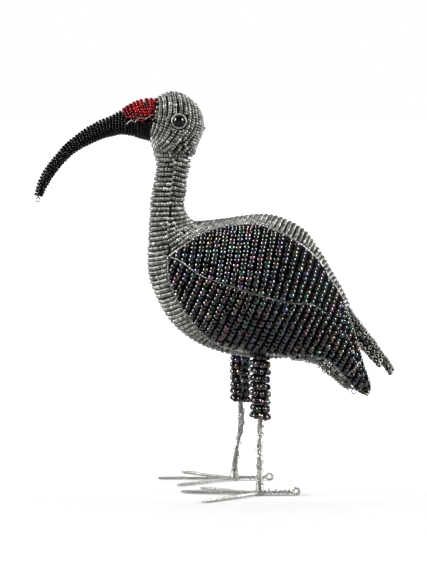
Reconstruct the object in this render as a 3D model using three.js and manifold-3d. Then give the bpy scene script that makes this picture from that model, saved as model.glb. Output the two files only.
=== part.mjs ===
// A craft ibis of bent wire wound with rows of glass beads, standing on two wire legs.
// Millimetres, +Z up, the bill points to -X and the bird's left side faces -Y.
// The origin is on the ground, at the middle of the whole bird's length and width.
import * as THREE from "three";
import { mergeVertices } from "three/addons/utils/BufferGeometryUtils.js";
import Module from "manifold-3d";

const wasm = await Module();
wasm.setup();

// Driving dimensions: beads, wire and the gap that touching pieces keep.
const LARGE_BEAD = 4.2; // outer diameter of the iridescent beads
const GROOVE = 0.75; // depth of the valley between two rows of beads
const FIT_GAP = 0.3;
const LEFT = -1;
const RIGHT = 1;

// Ribs of the wire frame under the neck and body, from the throat to the vent.
// Each is [front or belly x, z, back x, z, half width].
const TRUNK_RIBS = [
  [-39.2, 217.5, -14.6, 217.5, 12.2],
  [-38.2, 210.4, -15.6, 210.4, 11.3],
  [-39.6, 202.4, -17.4, 202.4, 11.0],
  [-41.2, 194.8, -17.9, 194.8, 11.4],
  [-42.4, 187.1, -19.3, 187.6, 12.2],
  [-42.8, 179.4, -17.9, 181.0, 13.6],
  [-43.2, 170.4, -12.9, 175.7, 16.0],
  [-43.5, 161.4, -6.3, 175.7, 19.5],
  [-43.9, 151.4, 1.7, 176.7, 24.0],
  [-43.2, 140.7, 10.7, 178.0, 28.5],
  [-39.2, 128.4, 20.7, 179.6, 33.0],
  [-30.7, 112.7, 30.7, 180.7, 37.0],
  [-18.4, 100.8, 40.7, 179.6, 39.5],
  [-3.5, 92.9, 50.7, 175.6, 40.5],
  [15.5, 88.2, 59.7, 169.4, 39.5],
];
const VENT_RIBS = [
  [35.7, 86.5, 67.6, 158.3, 36.0],
  [52.7, 87.2, 75.0, 146.0, 29.0],
  [66.7, 91.4, 82.7, 132.9, 21.0],
  [77.7, 98.4, 88.9, 120.0, 12.5],
];
// Behind the thighs the wings part from the body and run on to their free tips.
const WING_TIP_RIBS = [
  [35.7, 84.9, 68.2, 158.3, 36.5],
  [52.7, 82.4, 76.5, 145.0, 31.0],
  [67.7, 77.9, 84.2, 131.9, 25.0],
  [80.7, 71.9, 90.2, 115.9, 19.5],
  [90.7, 65.9, 96.2, 101.4, 15.5],
  [98.7, 59.9, 102.2, 87.4, 12.0],
  [105.7, 57.4, 107.2, 78.4, 9.5],
];
const BODY_RIBS = [...TRUNK_RIBS, ...VENT_RIBS];
const WING_RIBS = [...TRUNK_RIBS, ...WING_TIP_RIBS];
const BODY_ROWS = 26;
const BODY_SIDES = 16;
const BODY_FULL = 0.35; // the flat sides stand out a little to keep the true girth

// Wing outline and seam, side view x and z.
const WING_TOP = [
  [-29.7, 155.2], [-19.0, 163.0], [-6.3, 170.5], [15.9, 175.2], [29.9, 176.5], [47.7, 171.7],
  [59.9, 163.8], [68.9, 154.3], [76.5, 141.4], [82.1, 131.9], [89.9, 106.4], [96.3, 83.0],
  [100.7, 69.0], [99.3, 63.0],
];
const WING_BOTTOM = [
  [-29.7, 155.2], [-29.5, 143.4], [-27.3, 135.1], [-17.7, 117.9], [-6.3, 104.8], [4.5, 97.4],
  [16.1, 94.0], [30.2, 92.0], [48.0, 91.2], [62.7, 91.0], [71.3, 88.9], [79.5, 81.6],
  [87.3, 72.6], [93.3, 65.9], [99.3, 63.0],
];
const WING_SEAM = [
  [-29.7, 155.2], [-23.3, 153.6], [-9.4, 144.7], [3.2, 140.3], [29.4, 132.1], [45.7, 127.6],
  [62.7, 122.9], [76.7, 110.9], [87.2, 94.4], [99.3, 63.0],
];
const WING_ROWS = 18;
const WING_STEPS = 3; // steps from the seam to the rim, above and below
const UPPER_LEAN = THREE.MathUtils.degToRad(10);
const REAR_LEAN = THREE.MathUtils.degToRad(22);
const LOWER_LEAN = THREE.MathUtils.degToRad(24);
const WING_PROUD = 1.5; // how far the large beads stand proud of the small ones
const WING_ENDS = [0.022, 0.984]; // shares of the seam where the first and last rows start

// Head ribs: [crown x, z, jaw x, z, half width], from the bill to the nape.
const HEAD_RIBS = [
  [-35.9, 256.0, -41.5, 227.0, 11.0],
  [-32.9, 258.0, -40.9, 222.0, 13.6],
  [-29.5, 259.1, -38.9, 215.4, 15.2],
  [-24.9, 259.4, -33.3, 210.4, 16.0],
  [-20.1, 257.8, -26.3, 209.4, 15.9],
  [-15.7, 254.8, -20.3, 210.4, 15.0],
  [-11.6, 251.1, -15.7, 213.4, 13.0],
  [-8.3, 245.8, -10.7, 224.9, 10.0],
  [-6.5, 240.4, -6.9, 231.4, 5.5],
];
const HEAD_ROWS = 8;
const HEAD_SIDES = 12;
const THROAT_Z = 217.8; // where the head's frame meets the neck

// Bill ribs: [upper x, z, lower x, z, half width], from the root to the tip.
const BILL_RIBS = [
  [-36.3, 255.8, -41.9, 227.3, 11.0],
  [-46.3, 253.8, -47.8, 228.7, 10.3],
  [-53.3, 250.8, -53.8, 230.4, 9.2],
  [-59.8, 247.6, -60.3, 231.4, 7.9],
  [-66.8, 244.0, -66.1, 230.2, 6.6],
  [-74.3, 241.1, -71.7, 228.7, 5.9],
  [-82.3, 236.8, -78.6, 225.8, 5.3],
  [-89.8, 231.6, -85.3, 222.4, 4.8],
  [-96.8, 225.8, -91.7, 218.1, 4.4],
  [-102.8, 219.2, -97.2, 212.6, 4.0],
  [-108.0, 212.6, -101.8, 207.3, 3.7],
  [-111.9, 206.6, -105.5, 202.4, 3.3],
  [-114.9, 199.0, -108.9, 196.8, 3.0],
  [-116.3, 192.4, -111.3, 191.8, 2.5],
];
const BILL_ROWS = 18;
const BILL_SIDES = 8;
const BILL_LOOP = { x: -114.2, z: 190.0 };
const BILL_FULL = 0.4; // the few flat sides stand out a little to keep the true thickness
// Lower edge of the red beads on the bill's root, then round behind and above them.
const BROW_OUTLINE = [
  [-58.7, 262.4], [-58.5, 247.0], [-56.0, 242.3], [-51.5, 240.4], [-45.8, 239.8], [-42.0, 241.0],
  [-36.9, 244.8], [-29.3, 245.4], [-29.3, 262.4],
];

const EYE = { x: -22.6, z: 240.1, radius: 4.0, sunk: 1.2, ring: 5.0, wire: 0.65 };
const TAIL_TOP = [[88.1, 119.0], [103.2, 99.6], [116.9, 80.4]];
const TAIL_DEPTH = [10.4, 10.2, 7.4]; // thickness at the root, the middle and the end
const TAIL_HALF = [12.5, 14.0, 12.5];
const TAIL_ROWS = 8;

// Legs and feet. x, y of each ankle, and the stations of the leg wire above it.
const WIRE = 1.6; // diameter of the stout wire
const ANKLE = { radius: 2.6, height: 4.6 };
const TOE_STEPS = 3;
const TOE_MIDDLE = 51;
const TOE_OUTER = 41.5;
const TOE_HIND = 24;
const HIND_LOOP = { radius: 2.1, wire: 0.6 };
const LEGS = [
  {
    name: "left", side: LEFT, ankle: [28.9, -20.5],
    wire: [[28.7, -20.1, 22], [28.9, -18.7, 42], [29.1, -18, 54], [29.1, -18, 76], [29.1, -18, 99]],
    thigh: { x: 29.1, y: -18, bottom: 49.6, rings: 9, pitch: 4.85 },
    toes: { inner: 22, middle: 7, outer: -29 },
  },
  {
    name: "right", side: RIGHT, ankle: [13.0, 20.0],
    wire: [
      [13.5, 20.0, 13], [15.3, 19.5, 25], [17.5, 18.5, 40], [17.0, 18, 56], [16.8, 18, 76], [16.8, 18, 99],
    ],
    thigh: { x: 16.8, y: 18, bottom: 54.4, rings: 9, pitch: 4.4 },
    toes: { inner: 25, middle: -3, outer: -30.5 },
  },
];
const THIGH_RADIUS = 6.7;
const THIGH_GROOVE = 1.2; // depth of the valley between two rings of large beads
const THIGH_BORE = 2.5;
const TIP_LOOP = { radius: 1.3, wire: 0.45 };
// The doubled wire and beads along the underside of each wing tip, side view x and z.
const WING_EDGE = [[48.7, 89.4], [60.7, 88.6], [68.9, 85.4], [77.1, 77.6], [84.5, 69.6], [88.3, 65.8]];
const WING_EDGE_HALF = [0.6, 1.0, 1.7, 1.8, 1.6, 0.8];
const WING_EDGE_THICK = 1.3; // half its size across the bird
const WING_EDGE_INSET = 2.5; // how far inside the edging the wing's width is read

// Materials.
const silverBeads = new THREE.MeshStandardMaterial({ color: 0x85857f, roughness: 0.3, metalness: 0.55 });
const darkBeads = new THREE.MeshStandardMaterial({ color: 0x17171b, roughness: 0.2, metalness: 0.35 });
const blackBeads = new THREE.MeshStandardMaterial({ color: 0x0b0b0c, roughness: 0.25, metalness: 0.0 });
const redBeads = new THREE.MeshStandardMaterial({ color: 0x8c121c, roughness: 0.2, metalness: 0.1 });
const eyeGlass = new THREE.MeshStandardMaterial({ color: 0x050506, roughness: 0.05, metalness: 0.0 });
const bareWire = new THREE.MeshStandardMaterial({ color: 0x9b9c9d, roughness: 0.35, metalness: 0.9 });

const group = new THREE.Group();

// Joining and cutting of closed meshes.
function toSolid(geometry) {
  const bare = geometry.clone();
  bare.deleteAttribute("normal");
  bare.deleteAttribute("uv");
  const merged = mergeVertices(bare, 1e-4);
  const vertProperties = new Float32Array(merged.attributes.position.array);
  const triVerts = new Uint32Array(merged.index.array);
  return new wasm.Manifold(new wasm.Mesh({ numProp: 3, vertProperties, triVerts }));
}

function toGeometry(solid) {
  const mesh = solid.getMesh();
  const geometry = new THREE.BufferGeometry();
  geometry.setAttribute("position", new THREE.BufferAttribute(new Float32Array(mesh.vertProperties), 3));
  geometry.setIndex(new THREE.BufferAttribute(new Uint32Array(mesh.triVerts), 1));
  return geometry;
}

function addPiece(name, shape, material) {
  const mesh = new THREE.Mesh(toGeometry(mainPart(shape)), material);
  mesh.name = name;
  group.add(mesh);
  return mesh;
}

function mirrored(solid) {
  return solid.mirror([0, 1, 0]);
}

// A cut can leave a loose sliver: only the main part stays.
function mainPart(solid) {
  const parts = solid.decompose();
  return parts.reduce((best, part) => (part.volume() > best.volume() ? part : best));
}

// A closed skin over rings of points, each ring with the same count, with a fan over both ends.
function loft(rings) {
  const sides = rings[0].length;
  const points = rings.flat();
  const triangles = [];
  for (let r = 0; r < rings.length - 1; r++) {
    for (let s = 0; s < sides; s++) {
      const a = r * sides + s;
      const b = r * sides + ((s + 1) % sides);
      triangles.push(a, b, b + sides, a, b + sides, a + sides);
    }
  }
  for (const r of [0, rings.length - 1]) {
    const middle = new THREE.Vector3();
    rings[r].forEach((p) => middle.addScaledVector(p, 1 / sides));
    points.push(middle);
    const hub = points.length - 1;
    for (let s = 0; s < sides; s++) {
      const a = r * sides + s;
      const b = r * sides + ((s + 1) % sides);
      triangles.push(...(r === 0 ? [hub, b, a] : [hub, a, b]));
    }
  }
  const geometry = new THREE.BufferGeometry().setFromPoints(points);
  geometry.setIndex(triangles);
  const solid = toSolid(geometry);
  return solid.volume() < 0 ? toSolid(turnedOut(geometry)) : solid;
}

function turnedOut(geometry) {
  const index = Array.from(geometry.index.array);
  for (let i = 0; i < index.length; i += 3) {
    [index[i + 1], index[i + 2]] = [index[i + 2], index[i + 1]];
  }
  geometry.setIndex(index);
  return geometry;
}

// A smooth run through a table of ribs: t from 0 to 1 gives both ends of the rib and its half width.
function ribSpline(table) {
  const first = new THREE.CatmullRomCurve3(
    table.map(([x, z, , , half]) => new THREE.Vector3(x, half, z)), false, "catmullrom", 0.5);
  const last = new THREE.CatmullRomCurve3(
    table.map(([, , x, z]) => new THREE.Vector3(x, 0, z)), false, "catmullrom", 0.5);
  return (t) => {
    const p = first.getPoint(t);
    const q = last.getPoint(t);
    return { px: p.x, pz: p.z, qx: q.x, qz: q.z, half: p.y };
  };
}

// An oval ring round a rib, grown outward by a distance.
function ribRing(rib, sides, grow) {
  const mx = (rib.px + rib.qx) / 2;
  const mz = (rib.pz + rib.qz) / 2;
  const ax = (rib.px - rib.qx) / 2;
  const az = (rib.pz - rib.qz) / 2;
  const reach = Math.hypot(ax, az);
  const stretch = (reach + grow) / reach;
  const ring = [];
  for (let s = 0; s < sides; s++) {
    const angle = (s / sides) * 2 * Math.PI;
    const along = Math.cos(angle) * stretch;
    ring.push(new THREE.Vector3(mx + along * ax, Math.sin(angle) * (rib.half + grow), mz + along * az));
  }
  return ring;
}

// A beaded skin over ribs: each row of beads is a crest between two valleys.
function beadedLoft(table, rows, sides, grow = 0) {
  const rib = ribSpline(table);
  const rings = [ribRing(rib(0), sides, grow - GROOVE)];
  for (let row = 0; row < rows; row++) {
    rings.push(ribRing(rib((row + 0.5) / rows), sides, grow));
    rings.push(ribRing(rib((row + 1) / rows), sides, grow - GROOVE));
  }
  return loft(rings);
}

// Half the width of the ribbed form at a point of its side view.
function halfWidthAt(table, x, z) {
  const rib = ribSpline(table);
  const side = (t) => {
    const r = rib(t);
    return (r.qx - r.px) * (z - r.pz) - (r.qz - r.pz) * (x - r.px);
  };
  const startSign = Math.sign(side(0));
  let low = 0;
  let high = 1;
  for (let i = 0; i < 30; i++) {
    const middle = (low + high) / 2;
    if (Math.sign(side(middle)) === startSign) {
      low = middle;
    } else {
      high = middle;
    }
  }
  const r = rib(low);
  const reach = Math.hypot(r.px - r.qx, r.pz - r.qz) / 2;
  const off = Math.hypot(x - (r.px + r.qx) / 2, z - (r.pz + r.qz) / 2) / reach;
  return r.half * Math.sqrt(Math.max(1 - off * off, 0.02));
}

function sideCurve(points) {
  return new THREE.CatmullRomCurve3(
    points.map(([x, z]) => new THREE.Vector3(x, 0, z)), false, "centripetal");
}

// Where a straight row that leaves a point of the seam first meets a line of outline points.
function hitOutline(start, direction, outline) {
  let best = null;
  for (let i = 0; i < outline.length - 1; i++) {
    const a = outline[i];
    const b = outline[i + 1];
    const ex = b.x - a.x;
    const ez = b.z - a.z;
    const cross = direction.x * ez - direction.z * ex;
    if (Math.abs(cross) < 1e-9) {
      continue;
    }
    const reach = ((a.x - start.x) * ez - (a.z - start.z) * ex) / cross;
    const share = ((a.x - start.x) * direction.z - (a.z - start.z) * direction.x) / cross;
    if (reach > 0 && share >= 0 && share <= 1 && (best === null || reach < best)) {
      best = reach;
    }
  }
  return new THREE.Vector3(start.x + direction.x * best, 0, start.z + direction.z * best);
}

// The left wing: rows of large beads that run from the upper rim over the seam to the lower rim.
// spread moves the rim outward, and inner and outer are distances from the frame's surface.
function wingPanel(spread, inner, crest, valley) {
  const samples = 160;
  const top = sideCurve(WING_TOP).getSpacedPoints(samples);
  const bottom = sideCurve(WING_BOTTOM).getSpacedPoints(samples);
  const seam = sideCurve(WING_SEAM);
  const columns = [];
  const count = WING_ROWS * 2;
  for (let c = 0; c <= count; c++) {
    const t = THREE.MathUtils.lerp(...WING_ENDS, c / count);
    const s = seam.getPointAt(t);
    const rear = THREE.MathUtils.smoothstep(s.x, 10, 70);
    const up = THREE.MathUtils.lerp(UPPER_LEAN, REAR_LEAN, rear);
    const rise = hitOutline(s, new THREE.Vector3(Math.sin(up), 0, Math.cos(up)), top);
    const fall = hitOutline(s, new THREE.Vector3(-Math.sin(LOWER_LEAN), 0, -Math.cos(LOWER_LEAN)), bottom);
    const line = [];
    for (let i = 0; i <= WING_STEPS; i++) {
      line.push(rise.clone().lerp(s, i / WING_STEPS));
    }
    for (let i = 1; i <= WING_STEPS; i++) {
      line.push(s.clone().lerp(fall, i / WING_STEPS));
    }
    line[0].addScaledVector(new THREE.Vector3(Math.sin(up), 0, Math.cos(up)), spread);
    line[line.length - 1].addScaledVector(new THREE.Vector3(-0.4, 0, -0.9), spread);
    columns.push(line);
  }
  for (const end of [0, count]) {
    const away = new THREE.Vector3(end === 0 ? -1 : 0.5, 0, end === 0 ? 0 : -0.87);
    columns[end].forEach((p) => p.addScaledVector(away, spread));
  }
  const outerAt = (c) => (c % 2 === 1 ? crest : valley);
  const rings = columns.map((line, c) => {
    const faceOut = [];
    const faceIn = [];
    line.forEach((p, i) => {
      const half = halfWidthAt(WING_RIBS, p.x, p.z);
      const onRim = i === 0 || i === line.length - 1 || c === 0 || c === count;
      faceOut.push(new THREE.Vector3(p.x, -(half + (onRim ? valley : outerAt(c))), p.z));
      faceIn.push(new THREE.Vector3(p.x, -(half + inner), p.z));
    });
    return [...faceOut, ...faceIn.reverse()];
  });
  return loft(rings);
}

function box(x0, x1, y0, y1, z0, z1) {
  const geometry = new THREE.BoxGeometry(x1 - x0, y1 - y0, z1 - z0);
  geometry.translate((x0 + x1) / 2, (y0 + y1) / 2, (z0 + z1) / 2);
  return toSolid(geometry);
}

// Wings, and the hollow that each needs in the pieces around it.
const wingLeft = wingPanel(0, WING_PROUD - LARGE_BEAD, WING_PROUD, WING_PROUD - GROOVE);
const beyond = WING_PROUD + 12;
const wingRoom = wingPanel(FIT_GAP * 1.5, WING_PROUD - LARGE_BEAD - FIT_GAP, beyond, beyond);
const wingRooms = wingRoom.add(mirrored(wingRoom));
addPiece("wing_left", wingLeft, darkBeads);
addPiece("wing_right", mirrored(wingLeft), darkBeads);

// Body with neck.
const bodyForm = beadedLoft(BODY_RIBS, BODY_ROWS, BODY_SIDES, BODY_FULL);
const bodyRoom = beadedLoft(BODY_RIBS, BODY_ROWS, BODY_SIDES, BODY_FULL + FIT_GAP);
addPiece("body", bodyForm.subtract(wingRooms), silverBeads);

// Tail, a flat taper of two layers of beads.
function tailForm() {
  const top = new THREE.CatmullRomCurve3(TAIL_TOP.map(([x, z]) => new THREE.Vector3(x, 0, z)));
  const depth = new THREE.CatmullRomCurve3(TAIL_DEPTH.map((d, i) => new THREE.Vector3(d, TAIL_HALF[i], 0)));
  const rings = [];
  for (let i = 0; i <= TAIL_ROWS * 2; i++) {
    const t = i / (TAIL_ROWS * 2);
    const at = top.getPoint(t);
    const along = top.getTangent(t);
    const down = new THREE.Vector3(along.z, 0, -along.x);
    const size = depth.getPoint(t);
    const inset = i % 2 === 0 ? GROOVE : 0;
    const thick = size.x - inset * 2;
    const half = size.y - inset;
    const round = thick * 0.35;
    const outline = [
      [-half + round, inset], [half - round, inset], [half, inset + round], [half, inset + thick - round],
      [half - round, inset + thick], [-half + round, inset + thick], [-half, inset + thick - round],
      [-half, inset + round],
    ];
    rings.push(outline.map(([y, d]) => new THREE.Vector3(at.x + down.x * d, y, at.z + down.z * d)));
  }
  return loft(rings);
}
addPiece("tail", tailForm().subtract(bodyRoom).subtract(wingRooms), silverBeads);

// Eyes: a bead in a turn of wire, set in a shallow seat in the head.
const eyeFace = halfWidthAt(HEAD_RIBS, EYE.x, EYE.z);
function eyeBall(grow) {
  const geometry = new THREE.SphereGeometry(EYE.radius + grow, 12, 7);
  geometry.translate(EYE.x, -(eyeFace - EYE.sunk), EYE.z);
  return toSolid(geometry);
}
function eyeRing() {
  const geometry = new THREE.TorusGeometry(EYE.ring, EYE.wire, 4, 14);
  geometry.rotateX(Math.PI / 2);
  geometry.translate(EYE.x, -(eyeFace - EYE.sunk + EYE.wire), EYE.z);
  return toSolid(geometry);
}
function eyeSeat() {
  const radius = EYE.ring + EYE.wire + FIT_GAP;
  const floor = eyeFace - EYE.sunk - FIT_GAP;
  const geometry = new THREE.CylinderGeometry(radius, radius, 10, 12);
  geometry.translate(EYE.x, -(floor + 5), EYE.z);
  return toSolid(geometry).add(eyeBall(FIT_GAP));
}
const eyeLeft = eyeBall(0);
const ringLeft = eyeRing();
addPiece("eye_left", eyeLeft, eyeGlass);
addPiece("eye_right", mirrored(eyeLeft), eyeGlass);
addPiece("eye_ring_left", ringLeft, bareWire);
addPiece("eye_ring_right", mirrored(ringLeft), bareWire);

// Head.
const belowThroat = box(-60, 10, -30, 30, 190, THROAT_Z);
const headForm = beadedLoft(HEAD_RIBS, HEAD_ROWS, HEAD_SIDES).subtract(belowThroat);
addPiece("head", headForm.subtract(eyeSeat()).subtract(mirrored(eyeSeat())), silverBeads);

// Bill and the red brow over its root.
function browRegion(drop) {
  const shape = new THREE.Shape(BROW_OUTLINE.map(([x, z]) => new THREE.Vector2(x, z - drop)));
  const geometry = new THREE.ExtrudeGeometry(shape, { depth: 30, bevelEnabled: false });
  geometry.rotateX(Math.PI / 2);
  geometry.translate(-drop, 15, 0);
  return toSolid(geometry);
}
const billForm = beadedLoft(BILL_RIBS, BILL_ROWS, BILL_SIDES, BILL_FULL);
addPiece("bill", billForm.subtract(browRegion(FIT_GAP)), blackBeads);
addPiece("brow_red", billForm.intersect(browRegion(0)), redBeads);

// Thighs, leg wires and feet.
function thighForm({ x, y, bottom, rings, pitch }) {
  const profile = [new THREE.Vector2(THIGH_BORE, bottom)];
  for (let i = 0; i < rings; i++) {
    const z = bottom + i * pitch;
    profile.push(new THREE.Vector2(THIGH_RADIUS - THIGH_GROOVE, z));
    profile.push(new THREE.Vector2(THIGH_RADIUS, z + pitch / 2));
  }
  const top = bottom + rings * pitch;
  profile.push(new THREE.Vector2(THIGH_RADIUS - THIGH_GROOVE, top));
  profile.push(new THREE.Vector2(THIGH_BORE, top));
  profile.push(profile[0].clone());
  const geometry = new THREE.LatheGeometry(profile, 8);
  geometry.rotateX(Math.PI / 2);
  geometry.translate(x, y, 0);
  const solid = toSolid(geometry);
  return solid.volume() < 0 ? toSolid(turnedOut(mergeVertices(geometry))) : solid;
}

function wireTube(points, radius, sides, steps) {
  const path = new THREE.CatmullRomCurve3(points.map((p) => new THREE.Vector3(...p)));
  const section = new THREE.Shape();
  for (let s = 0; s < sides; s++) {
    const angle = (s / sides) * 2 * Math.PI;
    const place = [Math.cos(angle) * radius, Math.sin(angle) * radius];
    if (s === 0) {
      section.moveTo(...place);
    } else {
      section.lineTo(...place);
    }
  }
  section.closePath();
  const geometry = new THREE.ExtrudeGeometry(section, { steps, extrudePath: path, bevelEnabled: false });
  return toSolid(geometry);
}

// A toe of doubled wire lying on the ground, flat below, from the ankle outward.
function toeForm([x, y], direction, length, rootHalf, tipHalf) {
  const along = new THREE.Vector3(Math.cos(direction), Math.sin(direction), 0);
  const across = new THREE.Vector3(-along.y, along.x, 0);
  const rings = [];
  for (let i = 0; i <= TOE_STEPS; i++) {
    const t = i / TOE_STEPS;
    const half = THREE.MathUtils.lerp(rootHalf, tipHalf, t);
    const high = THREE.MathUtils.lerp(WIRE * 1.7, WIRE, t);
    const at = new THREE.Vector3(x, y, 0).addScaledVector(along, length * t);
    const outline = [[-half * 0.6, 0], [half * 0.6, 0], [half, high / 2], [half * 0.5, high],
      [-half * 0.5, high], [-half, high / 2]];
    rings.push(outline.map(([w, z]) => at.clone().addScaledVector(across, w).setZ(z)));
  }
  return loft(rings);
}

function footForm({ ankle, side, toes }) {
  const [x, y] = ankle;
  const knot = new THREE.CylinderGeometry(ANKLE.radius, ANKLE.radius, ANKLE.height, 8);
  knot.rotateX(Math.PI / 2);
  knot.translate(x, y, ANKLE.height / 2);
  const forward = (degrees) => Math.PI - THREE.MathUtils.degToRad(degrees) * -side;
  let foot = toSolid(knot);
  foot = foot.add(toeForm(ankle, forward(toes.middle), TOE_MIDDLE, 1.7, 0.9));
  foot = foot.add(toeForm(ankle, forward(toes.inner), TOE_OUTER, 1.6, 0.9));
  foot = foot.add(toeForm(ankle, forward(toes.outer), TOE_OUTER, 1.6, 0.9));
  foot = foot.add(toeForm(ankle, 0, TOE_HIND - HIND_LOOP.radius, 1.5, 0.9));
  const loop = new THREE.TorusGeometry(HIND_LOOP.radius, HIND_LOOP.wire, 4, 10);
  loop.rotateX(Math.PI / 2);
  loop.translate(x + TOE_HIND, y, HIND_LOOP.radius + HIND_LOOP.wire);
  return foot.add(toSolid(loop));
}

for (const leg of LEGS) {
  const [x, y] = leg.ankle;
  const footTop = ANKLE.height + FIT_GAP;
  const thigh = thighForm(leg.thigh).subtract(bodyRoom).subtract(wingRooms);
  const wire = wireTube([[x, y, footTop], ...leg.wire], WIRE, 6, 11);
  const shank = wire.subtract(bodyRoom).subtract(wingRooms);
  addPiece(`thigh_${leg.name}`, thigh, darkBeads);
  addPiece(`shank_${leg.name}`, shank, bareWire);
  addPiece(`foot_${leg.name}`, footForm(leg), bareWire);
}

// Closing curls of the frame wire at the bill tip and the wing tips.
function tipLoop(x, y, z) {
  const geometry = new THREE.TorusGeometry(TIP_LOOP.radius, TIP_LOOP.wire, 4, 10);
  geometry.rotateX(Math.PI / 2);
  geometry.translate(x, y, z);
  return toSolid(geometry);
}
addPiece("bill_loop", tipLoop(BILL_LOOP.x, 0, BILL_LOOP.z), bareWire);

// The edging under each wing tip, with the curl that ends it.
function wingEdge() {
  const stations = WING_EDGE.map(([x, z], i) => new THREE.Vector3(x, WING_EDGE_HALF[i], z));
  const path = new THREE.CatmullRomCurve3(stations);
  const steps = 10;
  const rings = [];
  for (let i = 0; i <= steps; i++) {
    const at = path.getPoint(i / steps);
    const along = path.getTangent(i / steps).setY(0).normalize();
    const y = -halfWidthAt(WING_RIBS, at.x + WING_EDGE_INSET, at.z + WING_EDGE_INSET);
    const ring = [];
    for (let s = 0; s < 6; s++) {
      const angle = (s / 6) * 2 * Math.PI;
      const out = Math.sin(angle) * at.y;
      const off = Math.cos(angle) * WING_EDGE_THICK;
      ring.push(new THREE.Vector3(at.x + along.z * out, y + off, at.z - along.x * out));
    }
    rings.push(ring);
  }
  const [endX, endZ] = WING_EDGE[WING_EDGE.length - 1];
  const endY = -halfWidthAt(WING_RIBS, endX + WING_EDGE_INSET, endZ + WING_EDGE_INSET);
  return loft(rings).add(tipLoop(endX + 0.6, endY, endZ - TIP_LOOP.radius)).subtract(wingRooms);
}
const edgeLeft = wingEdge();
addPiece("wing_edge_left", edgeLeft, bareWire);
addPiece("wing_edge_right", mirrored(edgeLeft), bareWire);

export default group;
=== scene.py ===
import math

import bpy
import numpy as np
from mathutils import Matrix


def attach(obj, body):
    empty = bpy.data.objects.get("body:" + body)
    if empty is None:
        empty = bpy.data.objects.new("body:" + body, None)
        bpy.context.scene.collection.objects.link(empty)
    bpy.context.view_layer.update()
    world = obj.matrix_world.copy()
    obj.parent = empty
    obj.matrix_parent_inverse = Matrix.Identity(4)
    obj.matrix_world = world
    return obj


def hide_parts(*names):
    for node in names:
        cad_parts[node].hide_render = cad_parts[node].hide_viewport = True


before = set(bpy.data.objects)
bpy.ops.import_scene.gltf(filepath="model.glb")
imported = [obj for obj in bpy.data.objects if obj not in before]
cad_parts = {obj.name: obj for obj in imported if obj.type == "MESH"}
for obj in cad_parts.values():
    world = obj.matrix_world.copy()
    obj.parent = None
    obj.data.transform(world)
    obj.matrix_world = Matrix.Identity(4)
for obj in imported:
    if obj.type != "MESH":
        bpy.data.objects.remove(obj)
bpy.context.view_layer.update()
rng = np.random.default_rng(11)
MM = 0.001
LEFT, RIGHT = -1, 1
SIDES = {LEFT: "left", RIGHT: "right"}
WHITE = (1, 1, 1, 1)


def put(name, data):
    """A new object in the scene."""
    thing = bpy.data.objects.new(name, data)
    bpy.context.collection.objects.link(thing)
    return thing


# Nodes


def set_inputs(node, values):
    for key, value in values.items():
        node.inputs[key.replace("_", " ")].default_value = value
    return node


class Nodes:
    """Short calls to fill a node tree."""

    def __init__(self, tree):
        self.nodes, self.links = tree.nodes, tree.links

    def node(self, kind, **inputs):
        return set_inputs(self.nodes.new(kind), inputs)

    def link(self, output, target):
        self.links.new(output, target)

    def spread(self, source, low, high, first=0.0, last=1.0):
        """A straight change from low to high as the source goes from first to last."""
        node = self.node("ShaderNodeMapRange", From_Min=first, From_Max=last, To_Min=low, To_Max=high)
        self.link(source, node.inputs["Value"])
        return node.outputs["Result"]

    def maths(self, kind, *sources):
        """A sum, product or the like of sockets and numbers."""
        node = self.nodes.new("ShaderNodeMath")
        node.operation = kind
        for target, source in zip(node.inputs, sources):
            if isinstance(source, float):
                target.default_value = source
            else:
                self.link(source, target)
        return node.outputs[0]

    def axes(self, kind):
        """X, Y and Z of a place or a direction."""
        place = self.nodes.new("ShaderNodeTexCoord")
        split = self.nodes.new("ShaderNodeSeparateXYZ")
        self.link(place.outputs[kind], split.inputs[0])
        return split.outputs


# Camera, lights and backdrop

LONG_SIDE_PX, FOCAL_PX, PITCH = 582, 1550.0, math.radians(6.72)
FLOOR_GLOSS, BACK_GLOSS = 0.47, 0.29  # how bright floor and backdrop look in the gloss
MIDDLE = np.array([0, 0, 0.16])  # of the bird, where the lights point
BOX_HEIGHT, BOX_DISTANCE, BOX_SIZE = 0.80, 1.25, (0.5, 0.66)

cam = put("camera", bpy.data.cameras.new("camera"))
cam.data.sensor_width = 36.0
cam.data.lens = FOCAL_PX * cam.data.sensor_width / LONG_SIDE_PX
cam.location = (-0.0009, -1.0, 0.2484)
cam.rotation_euler = (math.pi / 2 - PITCH, 0, 0)
cam.data.clip_start, cam.data.clip_end = 0.05, 60
bpy.context.scene.camera = cam
bpy.context.scene.view_settings.view_transform = "Standard"
bpy.context.scene.view_settings.look = "None"


def soft_box(name, azimuth, power):
    """A rectangular studio light that faces the bird's middle."""
    lamp = put(name, bpy.data.lights.new(name, "AREA"))
    lamp.data.shape = "RECTANGLE"
    lamp.data.size, lamp.data.size_y = BOX_SIZE
    lamp.data.energy = power
    a = math.radians(azimuth)
    place = np.array([math.sin(a) * BOX_DISTANCE, -math.cos(a) * BOX_DISTANCE, BOX_HEIGHT])
    aim = MIDDLE - place
    flat = math.hypot(aim[0], aim[1])
    lamp.location = place
    lamp.rotation_euler = (math.atan2(flat, -aim[2]), 0, math.atan2(-aim[0], aim[1]))


soft_box("box_left", -84, 37)
soft_box("box_right", 80, 33)

sun = put("sky", bpy.data.lights.new("sky", "SUN"))
sun.data.energy = 2.0
sun.data.angle = math.radians(110)
sun.rotation_euler = (math.radians(-12), 0, 0)
sun.visible_glossy = False

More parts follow.
